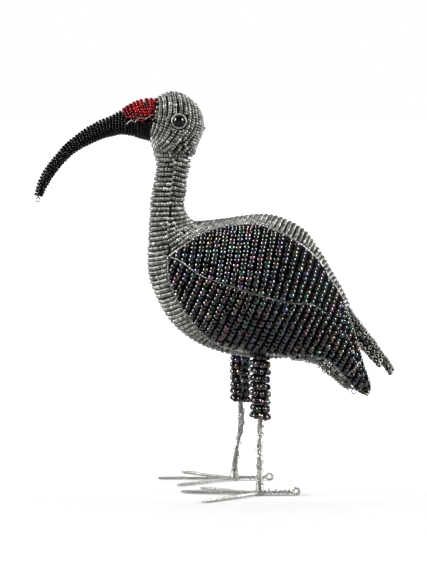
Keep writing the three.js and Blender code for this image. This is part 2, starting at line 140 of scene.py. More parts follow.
world = bpy.data.worlds.new("studio")
bpy.context.scene.world = world
world.use_nodes = True
sky = Nodes(world.node_tree)
sky.nodes.clear()
_, y, z = sky.axes("Generated")
below = sky.spread(z, FLOOR_GLOSS, 0.05, -0.03, 0.03)
behind = sky.maths("MULTIPLY", sky.spread(y, 0, BACK_GLOSS, 0.25, 0.75), sky.spread(z, 1, 0, 0.25, 0.7))
room = sky.node("ShaderNodeBackground", Color=WHITE)
sky.link(sky.maths("ADD", below, behind), room.inputs["Strength"])
seen = sky.node("ShaderNodeBackground", Color=WHITE)
pick = sky.node("ShaderNodeMixShader")
sky.link(sky.node("ShaderNodeLightPath").outputs["Is Camera Ray"], pick.inputs["Fac"])
sky.link(room.outputs[0], pick.inputs[1])
sky.link(seen.outputs[0], pick.inputs[2])
sky.link(pick.outputs[0], sky.node("ShaderNodeOutputWorld").inputs["Surface"])

# Materials


class Shader(Nodes):
    """A node material with a Principled shader."""

    def __init__(self, name, **values):
        self.material = bpy.data.materials.new(name)
        self.material.use_nodes = True
        super().__init__(self.material.node_tree)
        self.main = set_inputs(self.nodes["Principled BSDF"], values)

    def tint(self):
        """Three random shares that every bead or stretch of wire carries."""
        attribute = self.nodes.new("ShaderNodeAttribute")
        attribute.attribute_name = "tint"
        split = self.nodes.new("ShaderNodeSeparateColor")
        self.link(attribute.outputs["Color"], split.inputs[0])
        return split.outputs

    def noise(self, scale):
        place = self.nodes.new("ShaderNodeTexCoord")
        node = self.node("ShaderNodeTexNoise", Scale=scale, Detail=3.0)
        self.link(place.outputs["Object"], node.inputs["Vector"])
        return node.outputs["Fac"]

    def ramp(self, source, *stops):
        node = self.nodes.new("ShaderNodeValToRGB")
        marks = node.color_ramp.elements
        while len(marks) < len(stops):
            marks.new(0.5)
        for mark, (place, colour) in zip(marks, stops):
            mark.position = place
            mark.color = (*colour, 1)
        self.link(source, node.inputs["Fac"])
        return node.outputs["Color"]

    def greys(self, source, *stops):
        """A ramp of slightly warm greys."""
        return self.ramp(source, *[(place, (v, v, v * 0.97)) for place, v in stops])

    def multiply(self, first, second):
        node = self.nodes.new("ShaderNodeMix")
        node.data_type, node.blend_type = "RGBA", "MULTIPLY"
        node.inputs[0].default_value = 1.0
        self.link(first, node.inputs[6])
        self.link(second, node.inputs[7])
        return node.outputs[2]

    def paint(self, colour, roughness=None, scale=900, strength=0.08, distance=0.0002):
        """Links colour and roughness, adds fine bumps, and gives the finished material."""
        self.link(colour, self.main.inputs["Base Color"])
        if roughness:
            self.link(roughness, self.main.inputs["Roughness"])
        bump = self.node("ShaderNodeBump", Strength=strength, Distance=distance)
        self.link(self.noise(scale), bump.inputs["Height"])
        self.link(bump.outputs["Normal"], self.main.inputs["Normal"])
        return self.material


SILVER_TONES = ((0.0, 0.12), (0.5, 0.25), (0.9, 0.38), (1.0, 0.62))
RED_TONES = (0.0, (0.06, 0.001, 0.002)), (0.5, (0.19, 0.002, 0.004)), (1.0, (0.46, 0.006, 0.009))
# The thin film's colours, once round.
RAINBOW = [
    (0.00, (0.017, 0.047, 0.052)), (0.14, (0.025, 0.079, 0.044)), (0.28, (0.088, 0.082, 0.041)),
    (0.40, (0.111, 0.061, 0.043)), (0.52, (0.115, 0.041, 0.064)), (0.66, (0.064, 0.041, 0.092)),
    (0.82, (0.031, 0.049, 0.089)), (1.00, (0.017, 0.047, 0.052)),
]


def silver_beads(name="silver_beads", metal=0.5, lift=1.0):
    s = Shader(name, Metallic=metal, Coat_Weight=0.3, Coat_Roughness=0.05)
    bright, _, dull = s.tint()
    base = s.greys(bright, *[(place, tone * lift) for place, tone in SILVER_TONES])
    cloud = s.greys(s.noise(700), (0.3, 0.7), (0.7, 1.0))
    return s.paint(s.multiply(base, cloud), s.spread(dull, 0.12, 0.22))


def iridescent_beads():
    """The film's colour shifts from bead to bead and towards each bead's edge."""
    coat = {"Coat_Weight": 1.0, "Coat_Roughness": 0.02, "Coat_IOR": 1.75}
    s = Shader("iridescent_beads", Metallic=0.7, Specular_IOR_Level=0.3, **coat)
    bright, hue, dull = s.tint()
    facing = s.node("ShaderNodeLayerWeight", Blend=0.35).outputs["Facing"]
    turn = s.maths("WRAP", s.maths("MULTIPLY_ADD", facing, 0.45, hue), 1.0, 0.0)
    depth = s.greys(bright, (0.0, 0.08), (0.5, 0.35), (0.8, 0.9), (1.0, 2.2))
    return s.paint(s.multiply(s.ramp(turn, *RAINBOW), depth), s.spread(dull, 0.04, 0.10), 700)


def black_beads():
    s = Shader("black_beads", Coat_Weight=0.3, Coat_Roughness=0.04, Specular_IOR_Level=0.2)
    bright, _, dull = s.tint()
    return s.paint(s.greys(bright, (0.0, 0.001), (1.0, 0.004)), s.spread(dull, 0.05, 0.14))


def red_beads():
    s = Shader("red_beads", Metallic=0.6, Coat_Weight=0.15, Coat_Roughness=0.05)
    bright, _, dull = s.tint()
    cloud = s.ramp(s.noise(800), (0.35, (0.45, 0.3, 0.3)), (0.65, (1.0, 1.0, 1.0)))
    base = s.multiply(s.ramp(bright, *RED_TONES), cloud)
    return s.paint(base, s.spread(dull, 0.10, 0.26), strength=0.1)


def eye_glass():
    s = Shader("eye_glass", Specular_IOR_Level=0.3, Coat_Weight=0.25, Coat_Roughness=0.02)
    smear = s.noise(300)
    s.link(s.greys(smear, (0.3, 0.001), (0.8, 0.004)), s.main.inputs["Base Color"])
    s.link(s.spread(smear, 0.03, 0.08), s.main.inputs["Roughness"])
    return s.material


def bare_wire():
    s = Shader("bare_wire", Metallic=0.75)
    bright, _, dull = s.tint()
    base = s.greys(bright, (0.0, 0.46), (1.0, 0.78))
    stain = s.greys(s.noise(900), (0.36, 0.36), (0.58, 1.0))
    return s.paint(s.multiply(base, stain), s.spread(dull, 0.26, 0.45), 1500, 0.3, 0.0001)


def shade_sheet(name, low, high):
    """Dull and dark: painted shade for what shows between the beads."""
    s = Shader(name, Roughness=0.8, Specular_IOR_Level=0.1)
    return s.paint(s.greys(s.noise(500), (0.35, low), (0.7, high)), None, 900, 0.5, 0.0004)


# Each look is a material and the name of the record's slot for it.
LOOKS = {
    "silver": (silver_beads(), "silver_beads"),
    # A paler, more diffuse copy of the silver beads: partly the beads' own paler tone, partly painted light
    # where bead ends face the front.
    "pale_and_lit": (silver_beads("pale_and_lit_beads", 0.2, 1.9), "silver_beads"),
    "iridescent": (iridescent_beads(), "iridescent_beads"),
    "black": (black_beads(), "black_beads"),
    "red": (red_beads(), "red_beads"),
    "eye": (eye_glass(), "eye_glass"),
    "wire": (bare_wire(), "bare_wire"),
    # Near-black sheets under the beads: painted shade in the gaps between them.
    "painted_shade_grey": (shade_sheet("painted_shade_grey", 0.008, 0.03), "silver_beads"),
    "painted_shade_black": (shade_sheet("painted_shade_black", 0.001, 0.005), "black_beads"),
}

# Tables of the wire frame

# Each rib is [x, z] of its front or upper end, [x, z] of its other end, and half its width.
TRUNK_RIBS = [
    [-39.2, 217.5, -14.6, 217.5, 12.2], [-38.2, 210.4, -15.6, 210.4, 11.3],
    [-39.6, 202.4, -17.4, 202.4, 11], [-41.2, 194.8, -17.9, 194.8, 11.4],
    [-42.4, 187.1, -19.3, 187.6, 12.2], [-42.8, 179.4, -17.9, 181, 13.6],
    [-43.2, 170.4, -12.9, 175.7, 16], [-43.5, 161.4, -6.3, 175.7, 19.5], [-43.9, 151.4, 1.7, 176.7, 24],
    [-43.2, 140.7, 10.7, 178, 28.5], [-39.2, 128.4, 20.7, 179.6, 33], [-30.7, 112.7, 30.7, 180.7, 37],
    [-18.4, 100.8, 40.7, 179.6, 39.5], [-3.5, 92.9, 50.7, 175.6, 40.5], [15.5, 88.2, 59.7, 169.4, 39.5],
]
VENT_RIBS = [
    [35.7, 86.5, 67.6, 158.3, 36], [52.7, 87.2, 75, 146, 29], [66.7, 91.4, 82.7, 132.9, 21],
    [77.7, 98.4, 88.9, 120, 12.5],
]
WING_TIP_RIBS = [
    [35.7, 84.9, 68.2, 158.3, 36.5], [52.7, 82.4, 76.5, 145, 31], [67.7, 77.9, 84.2, 131.9, 25],
    [80.7, 71.9, 90.2, 115.9, 19.5], [90.7, 65.9, 96.2, 101.4, 15.5], [98.7, 59.9, 102.2, 87.4, 12],
    [105.7, 57.4, 107.2, 78.4, 9.5],
]
BODY_RIBS = TRUNK_RIBS + VENT_RIBS
WING_RIBS = TRUNK_RIBS + WING_TIP_RIBS
HEAD_RIBS = [
    [-35.9, 256, -41.5, 227, 11], [-32.9, 258, -40.9, 222, 13.6], [-29.5, 259.1, -38.9, 215.4, 15.2],
    [-24.9, 259.4, -33.3, 210.4, 16], [-20.1, 257.8, -26.3, 209.4, 15.9],
    [-15.7, 254.8, -20.3, 210.4, 15], [-11.6, 251.1, -15.7, 213.4, 13], [-8.3, 245.8, -10.7, 224.9, 10],
    [-6.5, 240.4, -6.9, 231.4, 5.5],
]
BILL_RIBS = [
    [-36.3, 255.8, -41.9, 227.3, 11], [-46.3, 253.8, -47.8, 228.7, 10.3],
    [-53.3, 250.8, -53.8, 230.4, 9.2], [-59.8, 247.6, -60.3, 231.4, 7.9],
    [-66.8, 244, -66.1, 230.2, 6.6], [-74.3, 241.1, -71.7, 228.7, 5.9],
    [-82.3, 236.8, -78.6, 225.8, 5.3], [-89.8, 231.6, -85.3, 222.4, 4.8],
    [-96.8, 225.8, -91.7, 218.1, 4.4], [-102.8, 219.2, -97.2, 212.6, 4],
    [-108, 212.6, -101.8, 207.3, 3.7], [-111.9, 206.6, -105.5, 202.4, 3.3],
    [-114.9, 199, -108.9, 196.8, 3], [-116.3, 192.4, -111.3, 191.8, 2.5],
]
# Side-view lines, x and z.
WING_TOP = [
    [-29.7, 155.2], [-19, 163], [-6.3, 170.5], [15.9, 175.2], [29.9, 174.6], [40.5, 170.8],
    [46.2, 168.0], [57.4, 160.8], [66.4, 151.9], [74, 140], [80, 131], [89.3, 106.3], [96.3, 83], [100.7, 69],
    [99.3, 63],
]
WING_BOTTOM = [
    [-29.7, 155.2], [-29.5, 143.4], [-27.3, 135.1], [-17.7, 117.9], [-6.3, 104.8], [4.5, 97.4],
    [16.1, 94], [30.2, 92], [48, 91.2], [62.7, 91], [71.3, 88.9], [79.5, 81.6], [87.3, 72.6],
    [93.3, 65.9], [99.3, 63],
]
WING_SEAM = [
    [-29.7, 155.2], [-23.3, 153.6], [-9.4, 144.7], [3.2, 140.3], [29.4, 132.1], [45.7, 127.6],
    [62.7, 125.0], [76.7, 111.4], [87.2, 94.4], [99.3, 63],
]
BROW_OUTLINE = [
    [-58.7, 262.4], [-58.5, 247], [-56, 242.3], [-51.5, 240.4], [-45.8, 239.8], [-42, 241],
    [-36.9, 244.8], [-29.3, 245.4], [-29.3, 262.4],
]
WING_EDGE = [
    [48.7, 89.4], [58.7, 88.2], [66.2, 85.4], [71.6, 80.0], [76.1, 76.4], [83.0, 69.9], [87.0, 67.6],
]
TAIL_TOP = [[88.1, 119.0], [103.2, 99.6], [116.9, 80.4]]
TAIL_SIZE = [[10.4, 12.5], [10.2, 14.0], [7.4, 12.5]]  # thickness and half width along the tail

# Curves and skins

HALVINGS = 26  # of the search for the rib at a place


def padded_ends(points):
    """The points, with one more before the first and after the last."""
    points = np.asarray(points, float)
    return np.vstack([2 * points[0] - points[1], points, 2 * points[-1] - points[-2]])


def catmull(points, t):
    """A uniform Catmull-Rom run through points, at shares t."""
    last = len(points) - 1
    padded = padded_ends(points)
    place = np.clip(np.asarray(t, float), 0, 1) * last
    i = np.minimum(place.astype(int), last - 1)
    w = (place - i)[..., None]
    p0, p1, p2, p3 = padded[i], padded[i + 1], padded[i + 2], padded[i + 3]
    bend = (2 * p0 - 5 * p1 + 4 * p2 - p3) * w**2 + (3 * p1 - p0 - 3 * p2 + p3) * w**3
    return 0.5 * (2 * p1 + (p2 - p0) * w + bend)


def lengths(path):
    """How far each point lies along a path."""
    return np.concatenate([[0], np.cumsum(np.linalg.norm(np.diff(path, axis=0), axis=1))])


def spots_at(path, s):
    """The points of a path at distances s along it."""
    run = lengths(path)
    return np.stack([np.interp(s, run, line) for line in path.T], -1)


def even(path, count):
    """The same path with count + 1 evenly spaced points."""
    return spots_at(path, np.linspace(0, lengths(path)[-1], count + 1))


def smooth(points, count=120):
    """Even stations on a centripetal Catmull-Rom curve through points."""
    padded = padded_ends(points)
    w = np.linspace(0, 1, 25)[:-1, None]
    run = []
    for i in range(len(points) - 1):
        p0, p1, p2, p3 = padded[i:i + 4]
        d0, d1, d2 = [math.sqrt(np.linalg.norm(b - a)) for a, b in ((p0, p1), (p1, p2), (p2, p3))]
        m1 = ((p1 - p0) / d0 - (p2 - p0) / (d0 + d1) + (p2 - p1) / d1) * d1
        m2 = ((p2 - p1) / d1 - (p3 - p1) / (d1 + d2) + (p3 - p2) / d2) * d1
        run.append(p1 + m1 * w + (3 * (p2 - p1) - 2 * m1 - m2) * w**2 + (2 * (p1 - p2) + m1 + m2) * w**3)
    run.append(padded[-2:-1])
    return even(np.vstack(run), count)


def full_turn(count):
    """Angles once round, the first and the last at the same place."""
    return np.linspace(0, 2 * math.pi, count)


def circle(count):
    """Angles once round, without the last."""
    return full_turn(count + 1)[:-1]


def unit(v):
    return v / np.maximum(np.linalg.norm(v, axis=-1, keepdims=True), 1e-9)


def well_off(v):
    """An upright direction, or a level one where v itself is upright."""
    return np.array([0, 0, 1.0]) if abs(v[2]) < 0.8 else np.array([1.0, 0, 0])


def skin(table, t, theta, grow=0.0):
    """Points of a ribbed form: t runs along it, theta round each rib from its first end."""
    r = catmull(table, t)
    middle, arm = (r[..., 0:2] + r[..., 2:4]) / 2, (r[..., 0:2] - r[..., 2:4]) / 2
    reach = np.linalg.norm(arm, axis=-1)
    flat = middle + (np.cos(theta) * (reach + grow) / reach)[..., None] * arm
    return np.stack([flat[..., 0], np.sin(theta) * (r[..., 4] + grow), flat[..., 1]], -1)


def half_at(table, flat):
    """Half the width of a ribbed form at points of its side view."""
    x, z = np.moveaxis(np.asarray(flat, float), -1, 0)

    def side(t):
        r = catmull(table, t)
        return (r[..., 2] - r[..., 0]) * (z - r[..., 1]) - (r[..., 3] - r[..., 1]) * (x - r[..., 0])

    low, high = np.zeros_like(x), np.ones_like(x)
    start = np.sign(side(low))
    for _ in range(HALVINGS):
        middle = (low + high) / 2
        before = np.sign(side(middle)) == start
        low, high = np.where(before, middle, low), np.where(before, high, middle)
    r = catmull(table, low)
    reach = np.hypot(r[..., 0] - r[..., 2], r[..., 1] - r[..., 3]) / 2
    off = np.hypot(x - (r[..., 0] + r[..., 2]) / 2, z - (r[..., 1] + r[..., 3]) / 2) / reach
    return r[..., 4] * np.sqrt(np.maximum(1 - off**2, 0.02))


def on_side(table, flat, out, side):
    """Side-view points laid a distance out from the left or right side of a ribbed form."""
    return np.stack([flat[:, 0], side * (half_at(table, flat) + out), flat[:, 1]], 1)


def inside(points, outline):
    """Which side-view points lie within a closed outline."""
    a, b = outline, np.roll(outline, -1, axis=0)
    px, pz = points[:, None, 0], points[:, None, 1]
    spans = (a[:, 1] > pz) != (b[:, 1] > pz)
    rise = np.where(np.abs(b[:, 1] - a[:, 1]) < 1e-9, 1e-9, b[:, 1] - a[:, 1])
    cross = px < (b[:, 0] - a[:, 0]) * (pz - a[:, 1]) / rise + a[:, 0]
    return np.sum(spans & cross, axis=1) % 2 == 1


def gap_to(points, line):
    """How far points lie from the nearest point of a line."""
    return np.min(np.linalg.norm(points[:, None, :] - line[None, :, :], axis=2), axis=1)


def across(half):
    """A whole row out of the half that runs from the middle to one side."""
    return np.vstack([half[::-1], half[1:] * [1, -1, 1]])


# Beads and wire

STOUT_WIRE, RIM_WIRE, BINDING, FINE_WIRE = 0.96, 0.42, 0.3, 0.2  # radii
# Turned outlines of beads: place along the length and share of the radius.
SOLID = [(-0.5, 0.34), (-0.38, 0.82), (0.0, 1.0), (0.38, 0.82), (0.5, 0.34)]
WIDE_HOLE = [(-0.28, 0.42), (-0.5, 0.60), (-0.38, 0.88), (0.0, 1.0), (0.38, 0.88), (0.5, 0.60), (0.28, 0.42)]
DRILLED = [(-0.42, 0.34), (-0.5, 0.60), (-0.38, 0.88), (0.0, 1.0), (0.38, 0.88), (0.5, 0.60), (0.42, 0.34)]


def add_mesh(name, points, faces, tint, look, *nodes):
    """Makes one smooth mesh object, in metres, that takes the place of CAD nodes."""
    mesh = bpy.data.meshes.new(name)
    mesh.vertices.add(len(points))
    mesh.vertices.foreach_set("co", (points * MM).astype(np.float32).ravel())
    sizes = np.concatenate([np.full(len(group), group.shape[1]) for group in faces])
    mesh.loops.add(int(sizes.sum()))
    corners = np.concatenate([group.ravel() for group in faces])
    mesh.loops.foreach_set("vertex_index", corners.astype(np.int32))
    mesh.polygons.add(len(sizes))
    starts = np.concatenate([[0], np.cumsum(sizes)[:-1]])
    mesh.polygons.foreach_set("loop_start", starts.astype(np.int32))
    mesh.polygons.foreach_set("use_smooth", np.ones(len(sizes), bool))
    mesh.update(calc_edges=True)
    colour = mesh.attributes.new("tint", "FLOAT_COLOR", "POINT")
    tint = np.hstack([tint, np.ones((len(tint), 1))])
    colour.data.foreach_set("color", tint.astype(np.float32).ravel())
    material, slot = LOOKS[look]
    mesh.materials.append(material)
    thing = put(name, mesh)
    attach(thing, "root")
    if nodes:
        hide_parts(*nodes)


def strips(rings, sides, closed=False):
    """Quads from ring to ring of points, and caps for the first and the last ring."""
    ring, side = np.meshgrid(np.arange(rings - 1 + closed), np.arange(sides), indexing="ij")
    here, there, after = ring * sides, (ring + 1) % rings * sides, (side + 1) % sides
    quad = np.stack([here + side, here + after, there + after, there + side], -1)
    caps = np.stack([np.arange(sides)[::-1], (rings - 1) * sides + np.arange(sides)])
    return quad.reshape(-1, 4), caps


class Beads:
    """Collects beads of one kind and makes a mesh of them."""

    def __init__(self, radius, length, sides=8, profile=SOLID, tilt=0.05, drift=0.07, apart=0.0):
        self.radius, self.length, self.sides = radius, length, sides
        self.profile = np.array(profile)
        self.tilt, self.drift, self.apart = tilt, drift, apart
        self.rows = []

    def add(self, centres, axes, scale=1.0):
        """Puts down beads, each a little off in place, direction and size."""
        centres, axes = np.atleast_2d(centres), np.atleast_2d(axes)
        count = len(centres)
        centres = centres + rng.normal(0, self.drift, (count, 3))
        axes = unit(axes + rng.normal(0, self.tilt, (count, 3)))
        radii = self.radius * scale * rng.normal(1, 0.03, count)
        spans = self.length * scale * rng.normal(1, 0.05, count)
        self.rows.append(np.hstack([centres, axes, radii[:, None], spans[:, None]]))

    def string(self, path, pitch, keep=None, scale=1.0):
        """Threads beads evenly along a path; keep picks those that stay."""
        total = lengths(path)[-1]
        count = int(round(total / pitch))
        if count < 1:
            return
        s = (np.arange(count) + 0.5) / count * total
        centres = spots_at(path, s)
        axes = spots_at(path, np.minimum(s + 0.4, total)) - spots_at(path, np.maximum(s - 0.4, 0))
        if keep is not None:
            stay = keep(centres)
            centres, axes = centres[stay], axes[stay]
        if self.apart and self.rows and len(centres):
            free = gap_to(centres, np.vstack(self.rows)[:, 0:3]) > self.apart
            centres, axes = centres[free], axes[free]
        if len(centres):
            self.add(centres, axes, scale)

    def fill(self, centres, axes, room, scale=1.0):
        """Puts a bead at each place that is at least room away from all others."""
        placed = np.vstack(self.rows)[:, 0:3]
        for k in rng.permutation(len(centres)):
            if np.min(np.linalg.norm(placed - centres[k], axis=1)) > room:
                placed = np.vstack([placed, centres[k]])
                self.add(centres[k], axes[k], scale)

    def build(self, name, look, *nodes):
        rows = np.vstack(self.rows)
        count, sides, rings = len(rows), self.sides, len(self.profile)
        centre, axis = rows[:, 0:3], rows[:, 3:6]
        start = np.where(np.abs(axis[:, 2:3]) < 0.8, [[0, 0, 1.0]], [[1.0, 0, 0]])
        u = unit(np.cross(axis, start))
        v = np.cross(axis, u)
        turn = rng.uniform(0, 2 * math.pi, count)[:, None] + np.arange(sides) / sides * 2 * math.pi
        around = np.cos(turn)[..., None] * u[:, None] + np.sin(turn)[..., None] * v[:, None]
        lengthwise = (self.profile[:, 0] * rows[:, 7:8])[..., None, None] * axis[:, None, None]
        outward = (self.profile[:, 1] * rows[:, 6:7])[..., None, None] * around[:, None]
        points = centre[:, None, None] + lengthwise + outward
        bored = rings > len(SOLID)
        groups = strips(rings, sides, bored)[:1 if bored else 2]
        shift = (np.arange(count) * rings * sides)[:, None, None]
        faces = [(group + shift).reshape(-1, group.shape[1]) for group in groups]
        tint = np.repeat(rng.uniform(0, 1, (count, 3)), rings * sides, axis=0)
        add_mesh(name, points.reshape(-1, 3), faces, tint, look, *nodes)


def frames(path, up=None):
    """Directions beside and above a path; without up they turn as little as possible."""
    ahead = unit(np.gradient(path, axis=0))
    if up is not None:
        beside = unit(np.cross(np.asarray(up, float), ahead))
        return beside, np.cross(ahead, beside)
    beside = np.empty_like(path)
    beside[0] = unit(np.cross(well_off(ahead[0]), ahead[0]))
    for i in range(1, len(path)):
        beside[i] = unit(beside[i - 1] - ahead[i] * np.dot(beside[i - 1], ahead[i]))
    return beside, np.cross(ahead, beside)


class Wires:
    """Collects lengths of wire and makes a mesh of them."""

    def __init__(self):
        self.points, self.quads, self.caps, self.tint, self.count = [], [], {}, [], 0

    def tube(self, path, radius, sides=8):
        path = np.asarray(path, float)
        beside, above = frames(path)
        turn = np.arange(sides)[:, None] / sides * 2 * math.pi
        around = np.cos(turn) * beside[:, None] + np.sin(turn) * above[:, None]
        points = (path[:, None] + radius * around).reshape(-1, 3)
        quad, caps = strips(len(path), sides)
        self.points.append(points)
        self.quads.append(quad + self.count)
        self.caps.setdefault(sides, []).append(caps + self.count)
        self.tint.append(np.repeat(rng.uniform(0, 1, (1, 3)), len(points), axis=0))
        self.count += len(points)

    def coil(self, path, wide, high, pitch, radius, up=None, sides=6, phase=0.0, steps=10, loose=0.0):
        """Thin wire wound round a path in an oval; loose lets its size wander."""
        count = max(int(lengths(path)[-1] / pitch * steps), 4)
        base = even(path, count)
        beside, above = frames(base, up)
        turn = phase + np.arange(count + 1) / steps * 2 * math.pi
        swell = 1 + loose * np.sin(turn * 0.37 + phase)
        sideways = (np.cos(turn) * wide * swell)[:, None] * beside
        upward = (np.sin(turn) * high * swell)[:, None] * above
        self.tube(base + (sideways + upward), radius, sides)

    def twist(self, path, apart, pitch, radius, sides, phase=0.0):
        """Two wires twisted together."""
        for k in (0, 1):
            self.coil(path, apart, apart, pitch, radius, sides=sides, phase=phase + k * math.pi, steps=12)

    def loop(self, centre, radius, wire, normal=(0, 1, 0), turns=1.0, wobble=0.0, start=0.0, rise=0.0):
        """A ring or curl of wire that rises along its normal."""
        normal = unit(np.array(normal, float))
        u = unit(np.cross(normal, well_off(normal)))
        v = np.cross(normal, u)
        a = start + np.linspace(0, turns * 2 * math.pi, int(22 * turns) + 1)
        r = radius + wobble * np.sin(a * 3.3 + start)
        path = np.asarray(centre) + np.outer(np.cos(a) * r, u) + np.outer(np.sin(a) * r, v)
        self.tube(path + np.outer(np.linspace(0, rise, len(a)), normal), wire)

    def build(self, name, look, *nodes):
        faces = [np.vstack(self.quads)] + [np.vstack(c) for c in self.caps.values()]
        add_mesh(name, np.vstack(self.points), faces, np.vstack(self.tint), look, *nodes)


def closed_skin(name, rings, look, *nodes):
    """A plain closed form over rings of points."""
    rings = np.asarray(rings)
    points = rings.reshape(-1, 3)
    tint = np.full((len(points), 3), 0.5)
    add_mesh(name, points, strips(*rings.shape[:2]), tint, look, *nodes)


def ribbed_shade_sheet(name, table, look, grow, steps):
    """A dark inner form under the beads of a ribbed one: painted shade where the gaps between beads show."""
    rings = [skin(table, np.full(36, t), circle(36), grow) for t in np.linspace(0, 1, steps)]
    closed_skin(name, rings, look)


# Beads over the neck and body

SEED, SLIM_SEED, SEED_LENGTH, SEED_PITCH = 1.42, 1.34, 1.72, 1.76
ROW_PITCH = 3.15
SINK = -1.42  # from the solid's surface to the middle of a row of seed beads
OUTLINE = np.vstack([smooth(WING_TOP, 200), smooth(WING_BOTTOM, 200)[::-1]])
# Where the front rows of the neck meet the back rows.
NECK_SEAM_Z = [155.6, 171.6, 187.2, 203.1, 210.0, 218.5]
NECK_SEAM_X = [-29.7, -29.9, -29.4, -27.3, -26.6, -25.3]
# Shares of the body at which the neck ends, wings cover the rows, and the vent begins.
NECK_TO, WINGS_FROM, VENT_FROM = 0.33, 0.75, 0.83
SHOULDER_Z, WING_ROOM = 154.0, 2.0
# How far rows shift along the body towards their ends: shares of the body, and the shift.
LEANS = {
    "front": ([0.34, 0.44, 0.66, 0.71], [0, 0.045, 0.045, 0.01]),
    "back": (
        [0.126, 0.23, 0.28, 0.38, 0.43, 0.53, 0.59, 0.65, 0.75, 0.78, 0.86, 0.95],
        [-0.022, -0.009, 0, 0.03, 0.034, 0.02, 0.02, 0, 0, -0.025, -0.09, -0.06],
    ),
}


def body_row(t, face, wave=1.0):
    """Half a row, from the middle of the front or back to where the wing or the seam stops it."""
    away = np.linspace(0, math.pi * 0.6, 240)
    leaning = np.minimum(away, 1.1) if t > 0.8 else away
    share = t + np.interp(t, *LEANS[face]) * (1 - np.cos(leaning))
    share = share + wave * rng.normal(0, 0.0007) * np.sin(away * rng.uniform(2, 5))
    theta = away if face == "front" else math.pi - away
    path = skin(BODY_RIBS, np.clip(share, 0, 1), -theta, SINK)
    flat = path[:, [0, 2]]
    if t < VENT_FROM:
        near = gap_to(flat, OUTLINE)
        if face == "front":
            stop = inside(flat, OUTLINE) | (near < 0.4)
        else:
            stop = inside(flat, OUTLINE) & (near > 0.5)
        seam = np.interp(flat[:, 1], NECK_SEAM_Z, NECK_SEAM_X)
        over = flat[:, 0] > seam + 0.3 if face == "front" else flat[:, 0] < seam - 0.3
        stop |= over & (flat[:, 1] > SHOULDER_Z)
    else:
        stop = away > math.pi / 2
    stop |= share > 1.0
    end = int(np.argmax(stop)) if stop.any() else len(path)
    return path[:max(end, 1)]


def row_stations(face):
    """Shares of the body where rows lie a pitch apart, half way between middle and end."""
    shares = np.linspace(-0.002, 0.992, 64)
    rows = [body_row(t, face, 0.0) for t in shares]
    steps = [np.linalg.norm(np.diff([row[k] for row in rows], axis=0), axis=1) for k in (0, -1)]
    # On the neck the ends of the rows count too, on the body only their middles.
    steps[1] = np.where(shares[1:] < 0.42, np.minimum(steps[1], steps[0] * 2.2), steps[0])
    run = np.concatenate([[0], np.cumsum((steps[0] + steps[1]) / 2)])
    count = int(run[-1] / ROW_PITCH)
    return np.interp((np.arange(count) + 0.5) * run[-1] / count, run, shares)


def clear_of_wings(centres):
    """Beads of the body that don't reach into the wings."""
    flat = centres[:, [0, 2]]
    room = half_at(WING_RIBS, flat) - WING_ROOM - SEED
    covered = inside(flat, OUTLINE) | (gap_to(flat, OUTLINE) < 0.9)
    return (np.abs(centres[:, 1]) < room) | ~covered


def seeds(radius, apart, drift=0.1):
    """Silver-grey seed beads that lie at least a distance apart."""
    return Beads(radius, SEED_LENGTH, tilt=0.12, drift=drift, apart=apart)


def glass(radius, length, sides=12, **values):
    """Beads with a narrow bore that shows."""
    return Beads(radius, length, sides=sides, profile=DRILLED, **values)


def level_row(x, wide, z):
    """A straight row from one side of the bird to the other."""
    return np.array([[x, -wide, z], [x, wide, z]])


def close_vent(beads):
    """Level rows over the open end of the body, under the tail."""
    r = catmull(BODY_RIBS, 1.0)
    for k in range(1, 8):
        u = k / 8
        x, z = r[0] + (r[2] - r[0]) * u + 1.0, r[1] + (r[3] - r[1]) * u
        wide = r[4] * math.sqrt(1 - (2 * u - 1) ** 2) - 1.5
        beads.string(level_row(x, wide, z), SEED_PITCH)


neck, breast, back = seeds(SEED, 1.4), seeds(SEED, 1.8), seeds(SLIM_SEED, 2.6)
for face in ("front", "back"):
    for t in row_stations(face):
        half = body_row(t, face)
        if len(half) < 4:
            continue
        group = neck if t < NECK_TO else (breast if face == "front" else back)
        group.string(across(half), SEED_PITCH, clear_of_wings if t > WINGS_FROM else None)
close_vent(back)
# Two rows at the throat, under the head: how far out, back and up they lie.
for out, backward, up in ((0.7, 0, 1.2), (0.2, 0.15, 3.4)):
    collar = skin(BODY_RIBS, np.zeros(90), full_turn(90), SINK + out)
    neck.string(collar + [backward, 0, up], SEED_PITCH)
neck.build("neck_beads", "silver")
breast.build("breast_beads", "silver", "body")
back.build("back_beads", "silver")
# A near-black sheet under the body's beads: painted shade in the gaps between the rows.
ribbed_shade_sheet("body_shade_sheet", BODY_RIBS, "painted_shade_grey", grow=-2.5, steps=90)

# Head

EYE_X, EYE_Z, EYE_BALL, EYE_RING = -22.7, 240.4, 3.8, 4.65
EYE_Y = float(half_at(HEAD_RIBS, (EYE_X, EYE_Z))) - 1.2
EYE_TURNS, EYE_BEADS = 4.4, 6.55  # radii of the wire and of the ring of beads round the eye
HEAD_FOOT_Z = 219.6  # no head bead lies lower
HEAD_LONG, HEAD_ROUND = 40, 15  # the head's size, for even curves over it
HEAD_GAP = 2.1  # the least distance of a bead that fills a gap
NAPE = np.array([-8.2, 0, 235.9])  # the middle of the head's flat end
